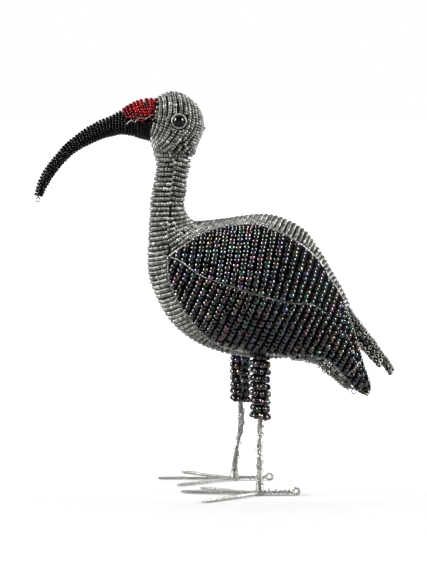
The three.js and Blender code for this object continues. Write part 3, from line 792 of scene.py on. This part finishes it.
# Rows of head beads, in hundredths: share of the head from bill to nape, and cosine round its rib.
HEAD_ROWS = [
    [(3, 100), (12, 72), (17, 40), (19, 20), (19, 4), (18, -19), (15, -50), (7, -80), (3, -100)],
    [(8, 100), (21, 78), (27, 40), (28, 25), (27, 8), (26, -15), (22, -42), (13, -75), (10, -100)],
    [(20, 100), (31, 80), (35, 43), (34, 29), (33, 8), (32, -13), (28, -36), (18, -72), (15, -100)],
    [
        (29, 100), (39, 80), (42, 47), (41, 26), (40, 14), (38, -1), (35, -21), (30, -42), (22, -70),
        (19, -100),
    ],
    [
        (37, 100), (47, 82), (50, 54), (48, 25), (46, 4), (43, -13), (37, -36), (31, -55), (25, -78),
        (23, -100),
    ],
    [
        (44, 100), (55, 81), (58, 57), (57, 27), (53, 4), (49, -16), (43, -37), (36, -55), (28, -78),
        (26, -100),
    ],
    [(51, 100), (62, 77), (65, 48), (63, 14), (56, -9), (49, -34), (42, -56), (33, -80)],
    [(55.5, -24), (52, -35), (48, -48), (42, -66)],
    [(55.5, -38), (53, -48), (50, -60), (47, -70)],
    [(58, 100), (69, 74), (72, 44), (69, 14), (62, -11), (58.5, -24)],
    [(64, 100), (76, 77), (80, 38), (76, 6), (67, -18), (60, -36), (57, -42)],
    [(72, 100), (83, 80), (87, 31), (82, -12), (73, -32), (63, -50), (58, -58)],
    [(80, 100), (90, 75), (94, 10), (90, -35), (80, -46), (69, -60), (62, -72)],
    [(89, 100), (97, 60), (99, -30), (93, -62), (85, -68), (77, -78), (70, -86)],
    [(97, 100), (100, 50), (100, -80), (94, -90), (86, -95), (80, -100)],
    [(9, 10), (7, -10), (5.5, -25), (3, -50), (-2, -80)],
]


def draw_in(points, t):
    """Shortens the head's end at the nape by up to 1.5 mm."""
    points[:, 0] -= 1.5 * np.clip((t - 0.72) / 0.28, 0, 1)
    return points


def head_path(row):
    """Half a row over the head, set back a little at the throat."""
    spots = [(t / 100 * HEAD_LONG, math.acos(c / 100) * HEAD_ROUND) for t, c in row]
    line = smooth(spots, 160)
    t = line[:, 0] / HEAD_LONG
    path = draw_in(skin(HEAD_RIBS, t, -line[:, 1] / HEAD_ROUND, SINK), t)
    low, ahead = np.clip((230 - path[:, 2]) / 7, 0, 1), np.clip((-26 - path[:, 0]) / 6, 0, 1)
    path[:, 0] += 1.5 * low * ahead
    return path


def on_head(centres):
    away = np.hypot(centres[:, 0] - EYE_X, centres[:, 2] - EYE_Z)
    return (away > EYE_RING + 0.9) & (centres[:, 2] > HEAD_FOOT_Z)


def round_eye(radius, a):
    """Side-view points on a circle round the eye."""
    return np.stack([EYE_X + np.cos(a) * radius, EYE_Z + np.sin(a) * radius], 1)


def beads_round_eye(beads, side):
    ring = on_side(HEAD_RIBS, round_eye(EYE_BEADS, full_turn(60)), SINK * 0.8, side)
    beads.string(ring, SEED_PITCH, lambda c: c[:, 2] < EYE_Z - 2.0, scale=0.85)


def fill_head(beads):
    """Beads in the gaps that the rows leave, then over the flat end at the nape."""
    t, theta = [grid.ravel() for grid in np.meshgrid(np.linspace(0.02, 1.0, 60), circle(89))]
    spots = draw_in(skin(HEAD_RIBS, t, theta, SINK), t)
    axes = skin(HEAD_RIBS, t, theta + 0.05, SINK) - skin(HEAD_RIBS, t, theta - 0.05, SINK)
    free = on_head(spots)
    beads.fill(spots[free], axes[free], room=HEAD_GAP)
    rim = skin(HEAD_RIBS, np.ones(36), circle(36), SINK) - [1.5, 0, 0]
    cap = np.vstack([
        NAPE + (rim - NAPE) * k + [0.9 * (1 - k * k), 0, 0]
        for k in (0.02, 0.3, 0.45, 0.6, 0.75, 0.9)
    ])
    beads.fill(cap, np.tile([0, 1.0, 0], (len(cap), 1)), room=HEAD_GAP)


# A near-black form under the head's beads: painted shade in the gaps between them.
def head_shade_sheet():
    rings = []
    for t in np.linspace(0, 0.98, 40):
        ring = draw_in(skin(HEAD_RIBS, np.full(36, t), circle(36), -2.8), t)
        ring[:, 2] = np.maximum(ring[:, 2], HEAD_FOOT_Z - 0.6)
        rings.append(ring)
    closed_skin("head_shade_sheet", rings, "painted_shade_grey")


def eye(side):
    """A glass ball with a turn of wire round it, bound with finer wire."""
    rings = []
    for lat in np.linspace(-math.pi / 2 + 0.06, math.pi / 2 - 0.06, 24):
        y = side * (EYE_Y + math.sin(lat) * EYE_BALL)
        rings.append([(x, y, z) for x, z in round_eye(math.cos(lat) * EYE_BALL, circle(40))])
    closed_skin(f"eye_ball_{SIDES[side]}", rings[::side], "eye", f"eye_{SIDES[side]}")
    turns = Wires()
    ring = np.array([(x, side * (EYE_Y + 0.9), z) for x, z in round_eye(EYE_TURNS, full_turn(90))])
    turns.tube(ring, RIM_WIRE)
    turns.coil(ring, 0.5, 0.5, 1.0, FINE_WIRE, steps=9, loose=0.12)
    turns.build(f"eye_turns_{SIDES[side]}", "wire", f"eye_ring_{SIDES[side]}")


head = seeds(SLIM_SEED, 1.6, drift=0.08)
for row in HEAD_ROWS:
    head.string(across(head_path(row)), SEED_PITCH, on_head)
for side in (LEFT, RIGHT):
    beads_round_eye(head, side)
fill_head(head)
head.build("head_beads", "silver", "head")
head_shade_sheet()
for side in (LEFT, RIGHT):
    eye(side)

# Bill and brow

BILL_SEED, BILL_PITCH, BILL_ROW = 1.02, 1.5, 2.05
BROW = np.array(BROW_OUTLINE)
BROW_SEED, BROW_PITCH, BROW_ROWS, BROW_STEP = 1.42, 1.95, 11, 0.0258
BROW_BULGE = [0, 1, 2, 5, 8, 10], [-1.7, -0.6, 0.2, 1.2, 1.0, 0.3]  # rows and how far they stand out
BROW_ARCHES = [
    [(-56.4, 238.2), (-54.6, 240.0), (-52.9, 240.8), (-51.2, 239.7)],
    [(-50.8, 239.7), (-48.5, 241.9), (-46.6, 242.5), (-44.4, 241.7)],
    [(-44.2, 241.6), (-41.8, 243.2), (-39.8, 244.4), (-38.2, 244.4), (-37.1, 243.3), (-37.0, 241.4)],
]
CORNER_X, CORNER_Z = -38.2, 240.9


def below_brow(centres):
    flat = centres[:, [0, 2]]
    return ~(inside(flat, BROW) | (gap_to(flat, even(BROW, 200)) < 1.0))


def bill_beads():
    beads = Beads(BILL_SEED, 1.4, tilt=0.1, drift=0.07)
    shares = np.linspace(0, 1, 300)
    r = catmull(BILL_RIBS, shares)
    run = lengths((r[:, 0:2] + r[:, 2:4]) / 2)
    count = int(run[-1] / BILL_ROW)
    for t in np.interp((np.arange(count) + 0.5) / count * run[-1], run, shares):
        a = full_turn(160) + rng.normal(0, 0.03)
        out = -BILL_SEED + 0.55 * np.clip((t - 0.7) / 0.3, 0, 1)
        beads.string(skin(BILL_RIBS, np.full(160, t), a, out), BILL_PITCH, below_brow)
    beads.build("bill_beads", "black", "bill")


def brow_beads():
    """Rows over the root of the bill, fuller in the middle."""
    beads = glass(BROW_SEED, 1.8)
    theta = np.linspace(-2.2, 2.2, 200)
    for k in range(BROW_ROWS):
        t = -0.018 + k * BROW_STEP
        share = t - 0.05 * min(1.0, t / 0.07) * (1 - np.cos(theta))
        bulge = np.interp(k, *BROW_BULGE) * np.cos(np.clip(theta, -1.57, 1.57)) ** 2
        row = skin(BILL_RIBS, np.clip(share, 0, 1), theta, bulge - 1.3)
        row = row + [min(share[0], 0) * -60, 0, 0]
        beads.string(row, BROW_PITCH, lambda centres: inside(centres[:, [0, 2]], BROW))
    beads.build("brow_beads", "red", "brow_red")


def brow_wire():
    curls = Wires()
    for side in (LEFT, RIGHT):
        for arch in BROW_ARCHES:
            curls.tube(on_side(BILL_RIBS, smooth(arch, 24), 0.1, side), 0.22, 6)
    curls.build("brow_wire", "wire")


def corner_beads():
    big = glass(1.75, 2.4, sides=16)
    half = float(half_at(HEAD_RIBS, (CORNER_X, CORNER_Z))) + 0.9
    for side in (LEFT, RIGHT):
        big.add([CORNER_X, side * half, CORNER_Z], [0.2, side * 0.3, 1.0])
    big.build("corner_bead", "black")


def bill_curl():
    curl = Wires()
    curl.loop((-114.2, 0, 190.0), 1.3, RIM_WIRE, turns=1.4, rise=0.5)
    curl.tube([(-114.0, 0.2, 193.5), (-114.1, 0.1, 192.2), (-114.3, 0, 191.3)], RIM_WIRE)
    curl.build("bill_curl", "wire", "bill_loop")


bill_beads()
# A near-black sheet under the bill's beads: painted shade in the gaps between them.
ribbed_shade_sheet("bill_shade_sheet", BILL_RIBS, "painted_shade_black", grow=-1.9, steps=60)
brow_beads()
brow_wire()
corner_beads()
bill_curl()

# Wings

LARGE, LARGE_LENGTH, LARGE_PITCH, LARGE_ROW = 2.08, 2.7, 2.85, 4.6
WING_OUT = 1.5 - LARGE  # from the solid's surface to the middle of a wing bead
TIP_FROM_X = 78
WING_POINT = np.array([[94.6, 66.5], [97.0, 66.3], [92.6, 68.3], [97.8, 68.8]])
CROSS_TIE = [[94.2, 87.4], [91.9, 86.2], [89.7, 82.6], [87.6, 80.9], [85.3, 77.6]]
top, bottom, seam = smooth(WING_TOP, 300), smooth(WING_BOTTOM, 300), smooth(WING_SEAM, 600)
seam_length = lengths(seam)[-1]


def hit(start, direction, line):
    """How far a straight row runs from the seam before it meets the rim."""
    a, b = line[:-1], line[1:]
    e = b - a
    cross = direction[0] * e[:, 1] - direction[1] * e[:, 0]
    cross = np.where(np.abs(cross) < 1e-9, 1e-9, cross)
    reach = ((a[:, 0] - start[0]) * e[:, 1] - (a[:, 1] - start[1]) * e[:, 0]) / cross
    share = ((a[:, 0] - start[0]) * direction[1] - (a[:, 1] - start[1]) * direction[0]) / cross
    good = reach[(reach > 0) & (share >= 0) & (share <= 1)]
    return float(good.min()) if len(good) else 0.0


def lean(x, upper):
    """The direction of the rows at x, up or down from the seam."""
    rear = min(max((x - 10) / 60, 0), 1)
    rear = rear * rear * (3 - 2 * rear)
    angle = math.radians(10 + 12 * rear) if upper else math.radians(24)
    direction = np.array([math.sin(angle), math.cos(angle)])
    return direction if upper else -direction


def on_wing(flat, out, side):
    return on_side(WING_RIBS, flat, out, side)


def wing_rows(beads, side, upper):
    """Rows of beads from the seam to the upper or the lower rim."""
    beads.tilt = 0.2 if upper else 0.3
    s = 1.5
    while s < seam_length - 2.0:
        at, ahead = spots_at(seam, s), spots_at(seam, s + 1)
        direction, tangent = lean(at[0], upper), unit(ahead - at)
        reach = hit(at, direction, top if upper else bottom)
        # Along the pale beads under the lower rim, the rows end sooner.
        first, last = 0.3, reach - (0.9 if upper or at[0] > 58 or at[0] < 2 else 2.4)
        if last - first > 1.6:
            flat = at + np.linspace(first, last, 60)[:, None] * direction
            beads.string(on_wing(flat, WING_OUT, side), LARGE_PITCH)
        steep = abs(tangent[0] * direction[1] - tangent[1] * direction[0])
        s += LARGE_ROW / max(steep, 0.4)


def patch(beads, flat, side, room, scale):
    """Beads in the gaps between the rows, upright for the most part."""
    step = np.array([0.3, 1.0]) * 0.3
    axes = on_wing(flat + step, 0, side) - on_wing(flat - step, 0, side)
    beads.fill(on_wing(flat, WING_OUT, side), axes, room, scale)


def wing_beads(side):
    beads = glass(LARGE, LARGE_LENGTH, drift=0.2)
    for upper in (True, False):
        wing_rows(beads, side, upper)
    grid = np.meshgrid(np.arange(-29, 103, 1.0), np.arange(62, 178, 1.0))
    flat = np.stack([part.ravel() for part in grid], 1)
    flat = flat[inside(flat, OUTLINE)]
    fringe = (flat[:, 1] < 96) & (flat[:, 0] < 60)
    flat = flat[gap_to(flat, OUTLINE) > np.where(fringe, 2.6, 1.1)]
    patch(beads, flat, side, room=3.3, scale=0.86)
    beads.tilt = 0.5
    patch(beads, flat[flat[:, 0] > TIP_FROM_X], side, room=2.75, scale=0.78)
    patch(beads, WING_POINT, side, room=1.9, scale=0.78)
    beads.build(f"wing_beads_{SIDES[side]}", "iridescent", f"wing_{SIDES[side]}")


# A black sheet under the wing's beads: painted shade in the gaps between the rows.
def wing_shade_sheet(side):
    rings = []
    for s in np.linspace(0.012, 0.992, 70) * seam_length:
        at = spots_at(seam, s)
        up, down = lean(at[0], True), lean(at[0], False)
        high = at + up * (hit(at, up, top) - 0.3)
        low = at + down * (hit(at, down, bottom) - 0.3)
        line = np.vstack([np.linspace(high, at, 13), np.linspace(at, low, 13)[1:]])
        rings.append(np.vstack([on_wing(line, -1.1, side), on_wing(line, -1.8, side)[::-1]]))
    closed_skin(f"wing_shade_sheet_{SIDES[side]}", rings[::-side], "painted_shade_black")


def wing_frame(side):
    """The rim with fine wire round it, the seam's twisted pair and the short tie near the tip."""
    wires = Wires()
    for line, upper in ((top, True), (bottom, False)):
        path = even(on_wing(line, 0.2, side), 150)
        if upper:
            path[:, 1] += side * np.interp(path[:, 0], [-30, 5, 22], [0.3, 0.4, -0.9])
        else:
            path[:, 1] -= side * np.interp(path[:, 0], [-2, 4, 56, 62], [0, 1.2, 1.2, 0])
        wires.tube(path, RIM_WIRE, 7)
        phase, pitch = rng.uniform(0, 6), LARGE_ROW / 2
        wires.coil(path, 0.72, 0.72, pitch, FINE_WIRE, sides=5, steps=9, phase=phase, loose=0.3)
    middle = even(on_wing(seam, 0.3, side), 110)
    sunk = np.interp(middle[:, 0], [-28, -18, 0, 30, 60, 72], [0.0, 0.1, 0.1, 0.2, 0.4, 1.6])
    middle[:, 1] -= side * sunk
    wires.twist(middle[:106], 0.3, 4.2, 0.22, sides=6)
    tie = even(on_wing(smooth(CROSS_TIE, 20), 1.5, side), 24)
    wires.twist(tie, 0.3, 2.6, 0.22, sides=6)
    wires.build(f"wing_frame_{SIDES[side]}", "wire")


edge_line = smooth(WING_EDGE, 60)
edge_half = half_at(WING_RIBS, edge_line + 2.5)


def wing_edging(side):
    """Two twisted pairs with loose coils, a curl at the end and a tangle behind it."""
    edge = Wires()
    path = np.stack([edge_line[:, 0], side * edge_half, edge_line[:, 1]], 1)
    edge.twist(path, 0.7, 4.2, 0.5, sides=7)
    edge.coil(path[16:], 1.05, 1.05, 3.0, 0.24, sides=5, loose=0.25)
    edge.coil(path[:30] + [0, 0, 0.9], 0.9, 1.0, 3.4, 0.24, sides=5, loose=0.25, phase=2.0)
    inner = path[8:] + [1.3, side * 0.5, 1.5]
    edge.twist(inner, 0.45, 3.4, 0.34, sides=6)
    edge.coil(inner, 0.9, 1.1, 2.4, FINE_WIRE, sides=5, loose=0.3, phase=1.0)
    end = path[-1]
    edge.loop(end + [3.2, 0, -1.5], 1.5, RIM_WIRE, turns=1.3)
    past_end = [end + [1.2, 0, 1.0], end + [4.6, side * 0.4, 0.6], end + [7.0, side * 0.4, -0.8]]
    tangle = smooth([path[-6] + [0.5, 0, 0.6], *past_end], 24)
    edge.coil(tangle, 1.1, 1.1, 1.9, 0.26, sides=5, loose=0.4)
    edge.tube(tangle, 0.4, 6)
    for k, down in ((14, -1.0), (24, -0.9), (31, -0.8)):
        edge.loop(path[k] + [0, side * 0.6, down], 1.0, 0.34, turns=1.2)
    edge.build(f"wing_edging_{SIDES[side]}", "wire", f"wing_edge_{SIDES[side]}")


def edge_beads(side):
    """Bead ends, pale or dark, between the lower rim and the edging, and pale ones under the rim. The pale
    ones are partly their own paler tone, partly painted light.
    """
    pale_and_lit, dark = [glass(1.35, 1.9, drift=0.2, tilt=0.25) for _ in range(2)]
    rim = bottom[gap_to(bottom, np.array([[80.0, 80.0]])) < 40]  # the part above the edging
    for k in range(2, 58, 3):
        gaps = np.linalg.norm(rim - edge_line[k], axis=1)
        up = rim[int(np.argmin(gaps))] - edge_line[k]
        for level in ((0.55,) if gaps.min() < 3.6 else (0.28, 0.74)):
            flat = edge_line[k] + up * level + [0.3, 0.2]
            if abs(flat[0] - 75.0) < 1.7 and level < 0.5:  # a gap in the row
                continue
            group = pale_and_lit if rng.uniform() < (0.25 if level < 0.5 else 0.8) else dark
            centre = [flat[0], side * (edge_half[k] - 0.4), flat[1]]
            group.add(centre, [0.3, side * 1.0, rng.normal(0, 0.4)])
    fringe = bottom[(bottom[:, 0] > 1) & (bottom[:, 0] < 63)]
    pale_and_lit.string(on_wing(fringe, 0.1, side) + [0, 0, 0.9], 2.3)
    pale_and_lit.build(f"edge_beads_{SIDES[side]}", "pale_and_lit")
    dark.build(f"edge_dark_beads_{SIDES[side]}", "black")


for side in (LEFT, RIGHT):
    wing_beads(side)
    wing_shade_sheet(side)
    wing_frame(side)
    wing_edging(side)
    edge_beads(side)

# Tail

TAIL_PITCH, TAIL_ROW, TAIL_FROM_X = 2.1, 3.8, 84.5
LOW_LAYER_TO = 0.84  # the share of the tail at which its lowest layer stops
TAIL_ROOT = 86.2, 12.3, 119.4  # x, half width and z of one more row, at the back
tail_top = smooth(TAIL_TOP, 60)
tail_length = lengths(tail_top)[-1]


def tail_spot(share):
    """A point on top of the tail, and the direction down through its layers."""
    s = share * tail_length
    before, after = spots_at(tail_top, s - 0.5), spots_at(tail_top, s + 0.5)
    heading = unit(after - before)
    return (before + after) / 2, np.array([heading[1], -heading[0]])


def tail_rows():
    """Three layers of level rows, each with curls of wire at its ends. The curls are pale: painted light,
    bright rings where the bead ends catch light from the front.
    """
    beads = Beads(1.58, 2.05, sides=10, profile=WIDE_HOLE, drift=0.2, tilt=0.14)
    ends = Wires()
    count = int(tail_length / TAIL_ROW)
    for layer, (start, inset) in enumerate(((0.4, 0.4), (0.9, 1.1), (0.5, 0.6))):
        for k in range(count + 1):
            share = (k + start) / (count + 0.9)
            on_top, down = tail_spot(share)
            thick, half = catmull(TAIL_SIZE, share)
            x, z = on_top + down * (SEED + (thick - 2 * SEED) * layer / 2)
            wide = half - inset + rng.normal(0, 0.4)
            if inside(np.array([[x, z]]), OUTLINE)[0]:
                wide = min(wide, float(half_at(WING_RIBS, (x, z))) - 3.4)
            if x < TAIL_FROM_X or (layer == 2 and share > LOW_LAYER_TO):
                continue
            beads.string(level_row(x, wide, z), TAIL_PITCH)
            for side in (LEFT, RIGHT):
                if layer and rng.uniform() < 0.5:
                    continue
                slant = (rng.normal(0, 0.3), 1, rng.normal(0, 0.3))
                centre, turn = (x, side * (wide + 0.15), z), rng.uniform(0, 6)
                ends.loop(centre, 1.12, RIM_WIRE, normal=slant, wobble=0.06, start=turn)
    beads.string(level_row(*TAIL_ROOT), TAIL_PITCH)
    return beads, ends


# A near-black block inside the tail's rows: painted shade in the gaps between the beads.
def tail_shade_sheet():
    rings = []
    for share in np.linspace(0.04, 0.93, 14):
        on_top, down = tail_spot(share)
        thick, wide = catmull(TAIL_SIZE, share)
        thick *= np.interp(share, [LOW_LAYER_TO - 0.08, LOW_LAYER_TO - 0.02], [1.0, 0.68])
        wide, low = wide - 2.6, thick - 1.5
        corners = [(-wide, 1.5), (wide, 1.5), (wide, low), (-wide, low)]
        spots = [(on_top + down * depth, y) for y, depth in corners]
        rings.append([(x, y, z) for (x, z), y in spots])
    closed_skin("tail_shade_sheet", rings, "painted_shade_grey")


def tail_loops():
    """Loose loops of fine wire along both sides of the tail."""
    wire = Wires()
    for side in (LEFT, RIGHT):
        for share in np.linspace(0.2, 0.97, 6):
            thick, wide = catmull(TAIL_SIZE, share)
            down = np.array([-0.79, -0.61]) * thick * rng.uniform(0.2, 0.8)
            x, z = spots_at(tail_top, share * tail_length) + down
            centre, radius = (x, side * (wide - rng.uniform(0.2, 0.7)), z), rng.uniform(1.2, 1.8)
            turns, start = rng.uniform(0.6, 1.2), rng.uniform(0, 6)
            wire.loop(centre, radius, FINE_WIRE, turns=turns, wobble=0.2, start=start)
    return wire


tail_beads, tail_ends = tail_rows()
tail_shade_sheet()
tail_wire = tail_loops()
tail_beads.build("tail_beads", "silver", "tail")
tail_wire.build("tail_frame", "wire")
tail_ends.build("tail_ends", "pale_and_lit")

# Legs

# The rings' count and pitch, each toe's angle and length, the twist's pitch and phase, and where
# along the shank finer wire is wrapped, at what pitch.
LEGS = {
    LEFT: {
        "ankle": (28.9, -20.5),
        "shank": [[28.7, -20.1, 22], [28.9, -18.7, 42], [29.1, -18, 54], [29.1, -18, 76], [29.1, -18, 92]],
        "thigh": (29.1, -18, 49.6), "rings": (9, 4.85),
        "toes": ((7, 51.0), (22, 41.5), (-29, 41.5)),
        "twist": (24.0, 0.4),
        "wraps": [(0.0, 0.11, 0.95), (0.12, 0.26, 2.4), (0.26, 0.46, 1.5), (0.46, 0.56, 3.0)],
        "loops": (38, 33, 17, 24),
    },
    RIGHT: {
        "ankle": (13.0, 20.0),
        "shank": [
            [13.5, 20.0, 13], [15.3, 19.5, 25], [17.5, 18.5, 40], [17.0, 18, 56], [16.8, 18, 76],
            [16.8, 18, 92],
        ],
        "thigh": (16.8, 18, 54.4), "rings": (9, 4.4),
        "toes": ((-3, 51.0), (25, 41.5), (-30.5, 41.5)),
        "twist": (70.0, 1.2),
        "wraps": [(0.0, 0.08, 1.2), (0.10, 0.56, 3.6)],
        "loops": (41, 34, 28, 22, 12),
    },
}
STRAND = [
    (18.6, 12.2, 94), (17.2, 12.6, 88), (18.2, 12.4, 80), (17.0, 12.6, 72), (18.4, 12.4, 64),
    (17.2, 13.4, 57), (17.6, 16.4, 52),
]
THIGH_RING, THIGH_CORE, BEADS_PER_RING, THIGH_SLANT = 5.0, 3.4, 9, math.tan(math.radians(9))


def thigh(side):
    """A stack of slanting rings of large beads round a dark core, which is painted shade inside the rings."""
    (x, y, low), (count, pitch) = LEGS[side]["thigh"], LEGS[side]["rings"]
    rings = glass(2.2, 2.95, tilt=0.24, drift=0.2)
    for k in range(count):
        a = full_turn(60) + rng.uniform(0, 1)
        z = low + (k + 0.5) * pitch
        cos, sin = THIGH_RING * np.cos(a), THIGH_RING * np.sin(a)
        ring = np.stack([x + cos, y + sin, z - THIGH_SLANT * cos], 1)
        rings.string(ring, 2 * math.pi * THIGH_RING / BEADS_PER_RING)
    rings.build(f"thigh_beads_{SIDES[side]}", "iridescent", f"thigh_{SIDES[side]}")
    turn = np.linspace(-2.2, 2.2, 200)  # flat towards the bill
    outline = np.stack([np.cos(turn), np.sin(turn), 0 * turn], 1) * THIGH_CORE
    core = [outline + [x, y, z] for z in np.linspace(low + 1.5, low + count * pitch - 1, 6)]
    closed_skin(f"thigh_shade_core_{SIDES[side]}", core, "painted_shade_black")


def shank(side):
    """Two stout wires twisted together, with finer wire wrapped round and loops on it."""
    facts = LEGS[side]
    leg = Wires()
    path = smooth([[*facts["ankle"], 3.5], *facts["shank"]], 80)
    pitch, phase = facts["twist"]
    leg.twist(path, 1.04, pitch, STOUT_WIRE, sides=9, phase=phase)
    for start, stop, step in facts["wraps"]:
        part = path[int(start * 80):int(stop * 80) + 1]
        for _ in range(2):
            phase = rng.uniform(0, 6)
            leg.coil(part, 2.15, 2.15, step * 2, BINDING, sides=5, loose=0.2, phase=phase)
    for k in facts["loops"]:
        leg.loop(path[k] + [rng.choice((-1, 1)) * 1.7, -1.0, 0], 1.05, 0.25, turns=1.3, wobble=0.1)
    if side == RIGHT:
        leg.twist(smooth(STRAND, 60), 0.3, 2.6, 0.26, sides=6)
    leg.build(f"leg_wires_{SIDES[side]}", "wire", f"shank_{SIDES[side]}")


def front_toe(wires, x, y, heading, reach):
    """Two wires side by side, joined in a bow at the tip and bound with fine wire in three places."""
    ahead = np.array([math.cos(heading), math.sin(heading), 0])
    beside = np.array([-ahead[1], ahead[0], 0])
    out = np.linspace(1.0, reach - 0.75, 30)
    spread = np.interp(out, [0, reach], [0.95, 0.76])
    height = np.interp(out, [0, 5, reach], [2.8, 1.5, 1.2]) + rng.normal(0, 0.05, 30)
    spine = np.array([x, y, 0]) + out[:, None] * ahead + np.outer(height, [0, 0, 1.0])
    sway = np.outer(np.sin(out * rng.uniform(0.15, 0.3) + rng.uniform(0, 6)) * 0.3, beside)
    one, two = spine + spread[:, None] * beside + sway, spine - spread[:, None] * beside + sway
    a = np.linspace(0, math.pi, 9)[1:-1]
    bow = spine[-1] + sway[-1] + np.outer(np.cos(a) * spread[-1], beside)
    bow = bow + np.outer(np.sin(a) * 0.75, ahead)
    wires.tube(np.vstack([one, bow, two[::-1]]), 0.52)
    for start, stop, step in ((0.03, 0.40, 1.7), (0.44, 0.66, 1.5), (0.70, 0.97, 1.35)):
        part = (spine + sway)[int(start * 29):int(stop * 29) + 1]
        phase = rng.uniform(0, 6)
        wires.coil(part, 1.5, 0.92, step, FINE_WIRE, up=(0, 0, 1), sides=5, phase=phase)


def hind_toe(wires, x, y):
    """Two straight wires bound in two places, with a double loop at the end."""
    out = np.linspace(0.5, 21.9, 24)
    height = np.interp(out, [0, 4, 20], [2.6, 2.1, 2.2])
    for shift in (-0.8, 0.8):
        wires.tube(np.stack([x + out, np.full(24, y + shift), height], 1), 0.75)
    hind = np.stack([x + out, np.full(24, y), height], 1)
    for start, stop, pitch in ((1, 9, 1.6 * 1.5), (10, 23, 1.9 * 1.5)):
        part, phase = hind[start:stop], rng.uniform(0, 6)
        wires.coil(part, 1.9, 1.5, pitch, BINDING, up=(0, 0, 1), sides=5, loose=0.2, phase=phase)
    wires.loop((x + 24.0, y - 0.5, 2.75), 2.1, 0.62, turns=1.0)
    wires.loop((x + 23.4, y + 0.7, 2.75), 2.0, 0.55, turns=1.0, wobble=0.15)


def foot(side):
    wires = Wires()
    x, y = LEGS[side]["ankle"]
    for degrees, reach in LEGS[side]["toes"]:
        front_toe(wires, x, y, math.pi - math.radians(degrees) * -side, reach)
    hind_toe(wires, x, y)
    if side == LEFT:
        spur = [(x + 1.5, y - 2.3, 1.2), (x + 4.0, y - 2.6, 2.4), (x + 6.6, y - 2.4, 5.6)]
        wires.tube(smooth(spur, 12), BINDING, 6)
    knot = even(np.array([[x, y, 0.5], [x, y, 7.5]]), 12)
    wires.coil(knot, 2.3, 2.3, 0.9, 0.36, sides=6, steps=14, loose=0.12)
    wires.coil(knot, 2.5, 2.0, 2.3, 0.28, sides=5, steps=14, phase=1.5, loose=0.2)
    wires.build(f"foot_wires_{SIDES[side]}", "wire", f"foot_{SIDES[side]}")


for side in (LEFT, RIGHT):
    thigh(side)
    shank(side)
    foot(side)

# Floor

# Narrow before the bird and wide behind it, in metres.
FLOOR_CORNERS = [(-0.35, -0.27, 0), (0.35, -0.27, 0), (6, 30, 0), (-6, 30, 0)]


def paper():
    """White paper that glows a little, more so away from the feet, and so looks evenly lit."""
    white = Shader("paper", Roughness=0.6, Specular_IOR_Level=0.2, Emission_Color=WHITE)
    shades = (0.3, (0.435, 0.435, 0.437)), (0.7, (0.445, 0.445, 0.447))
    white.link(white.ramp(white.noise(60), *shades), white.main.inputs["Base Color"])
    _, y, _ = white.axes("Object")
    behind, before = white.spread(y, 0.03, 1.1, -0.04, 0.15), white.spread(y, 0, 0.025, -0.045, -0.08)
    white.link(white.maths("ADD", behind, before), white.main.inputs["Emission Strength"])
    return white.material


ground = bpy.data.meshes.new("floor")
ground.from_pydata(FLOOR_CORNERS, [], [(0, 1, 2, 3)])
floor = put("floor", ground)
floor.visible_glossy = False
ground.materials.append(paper())
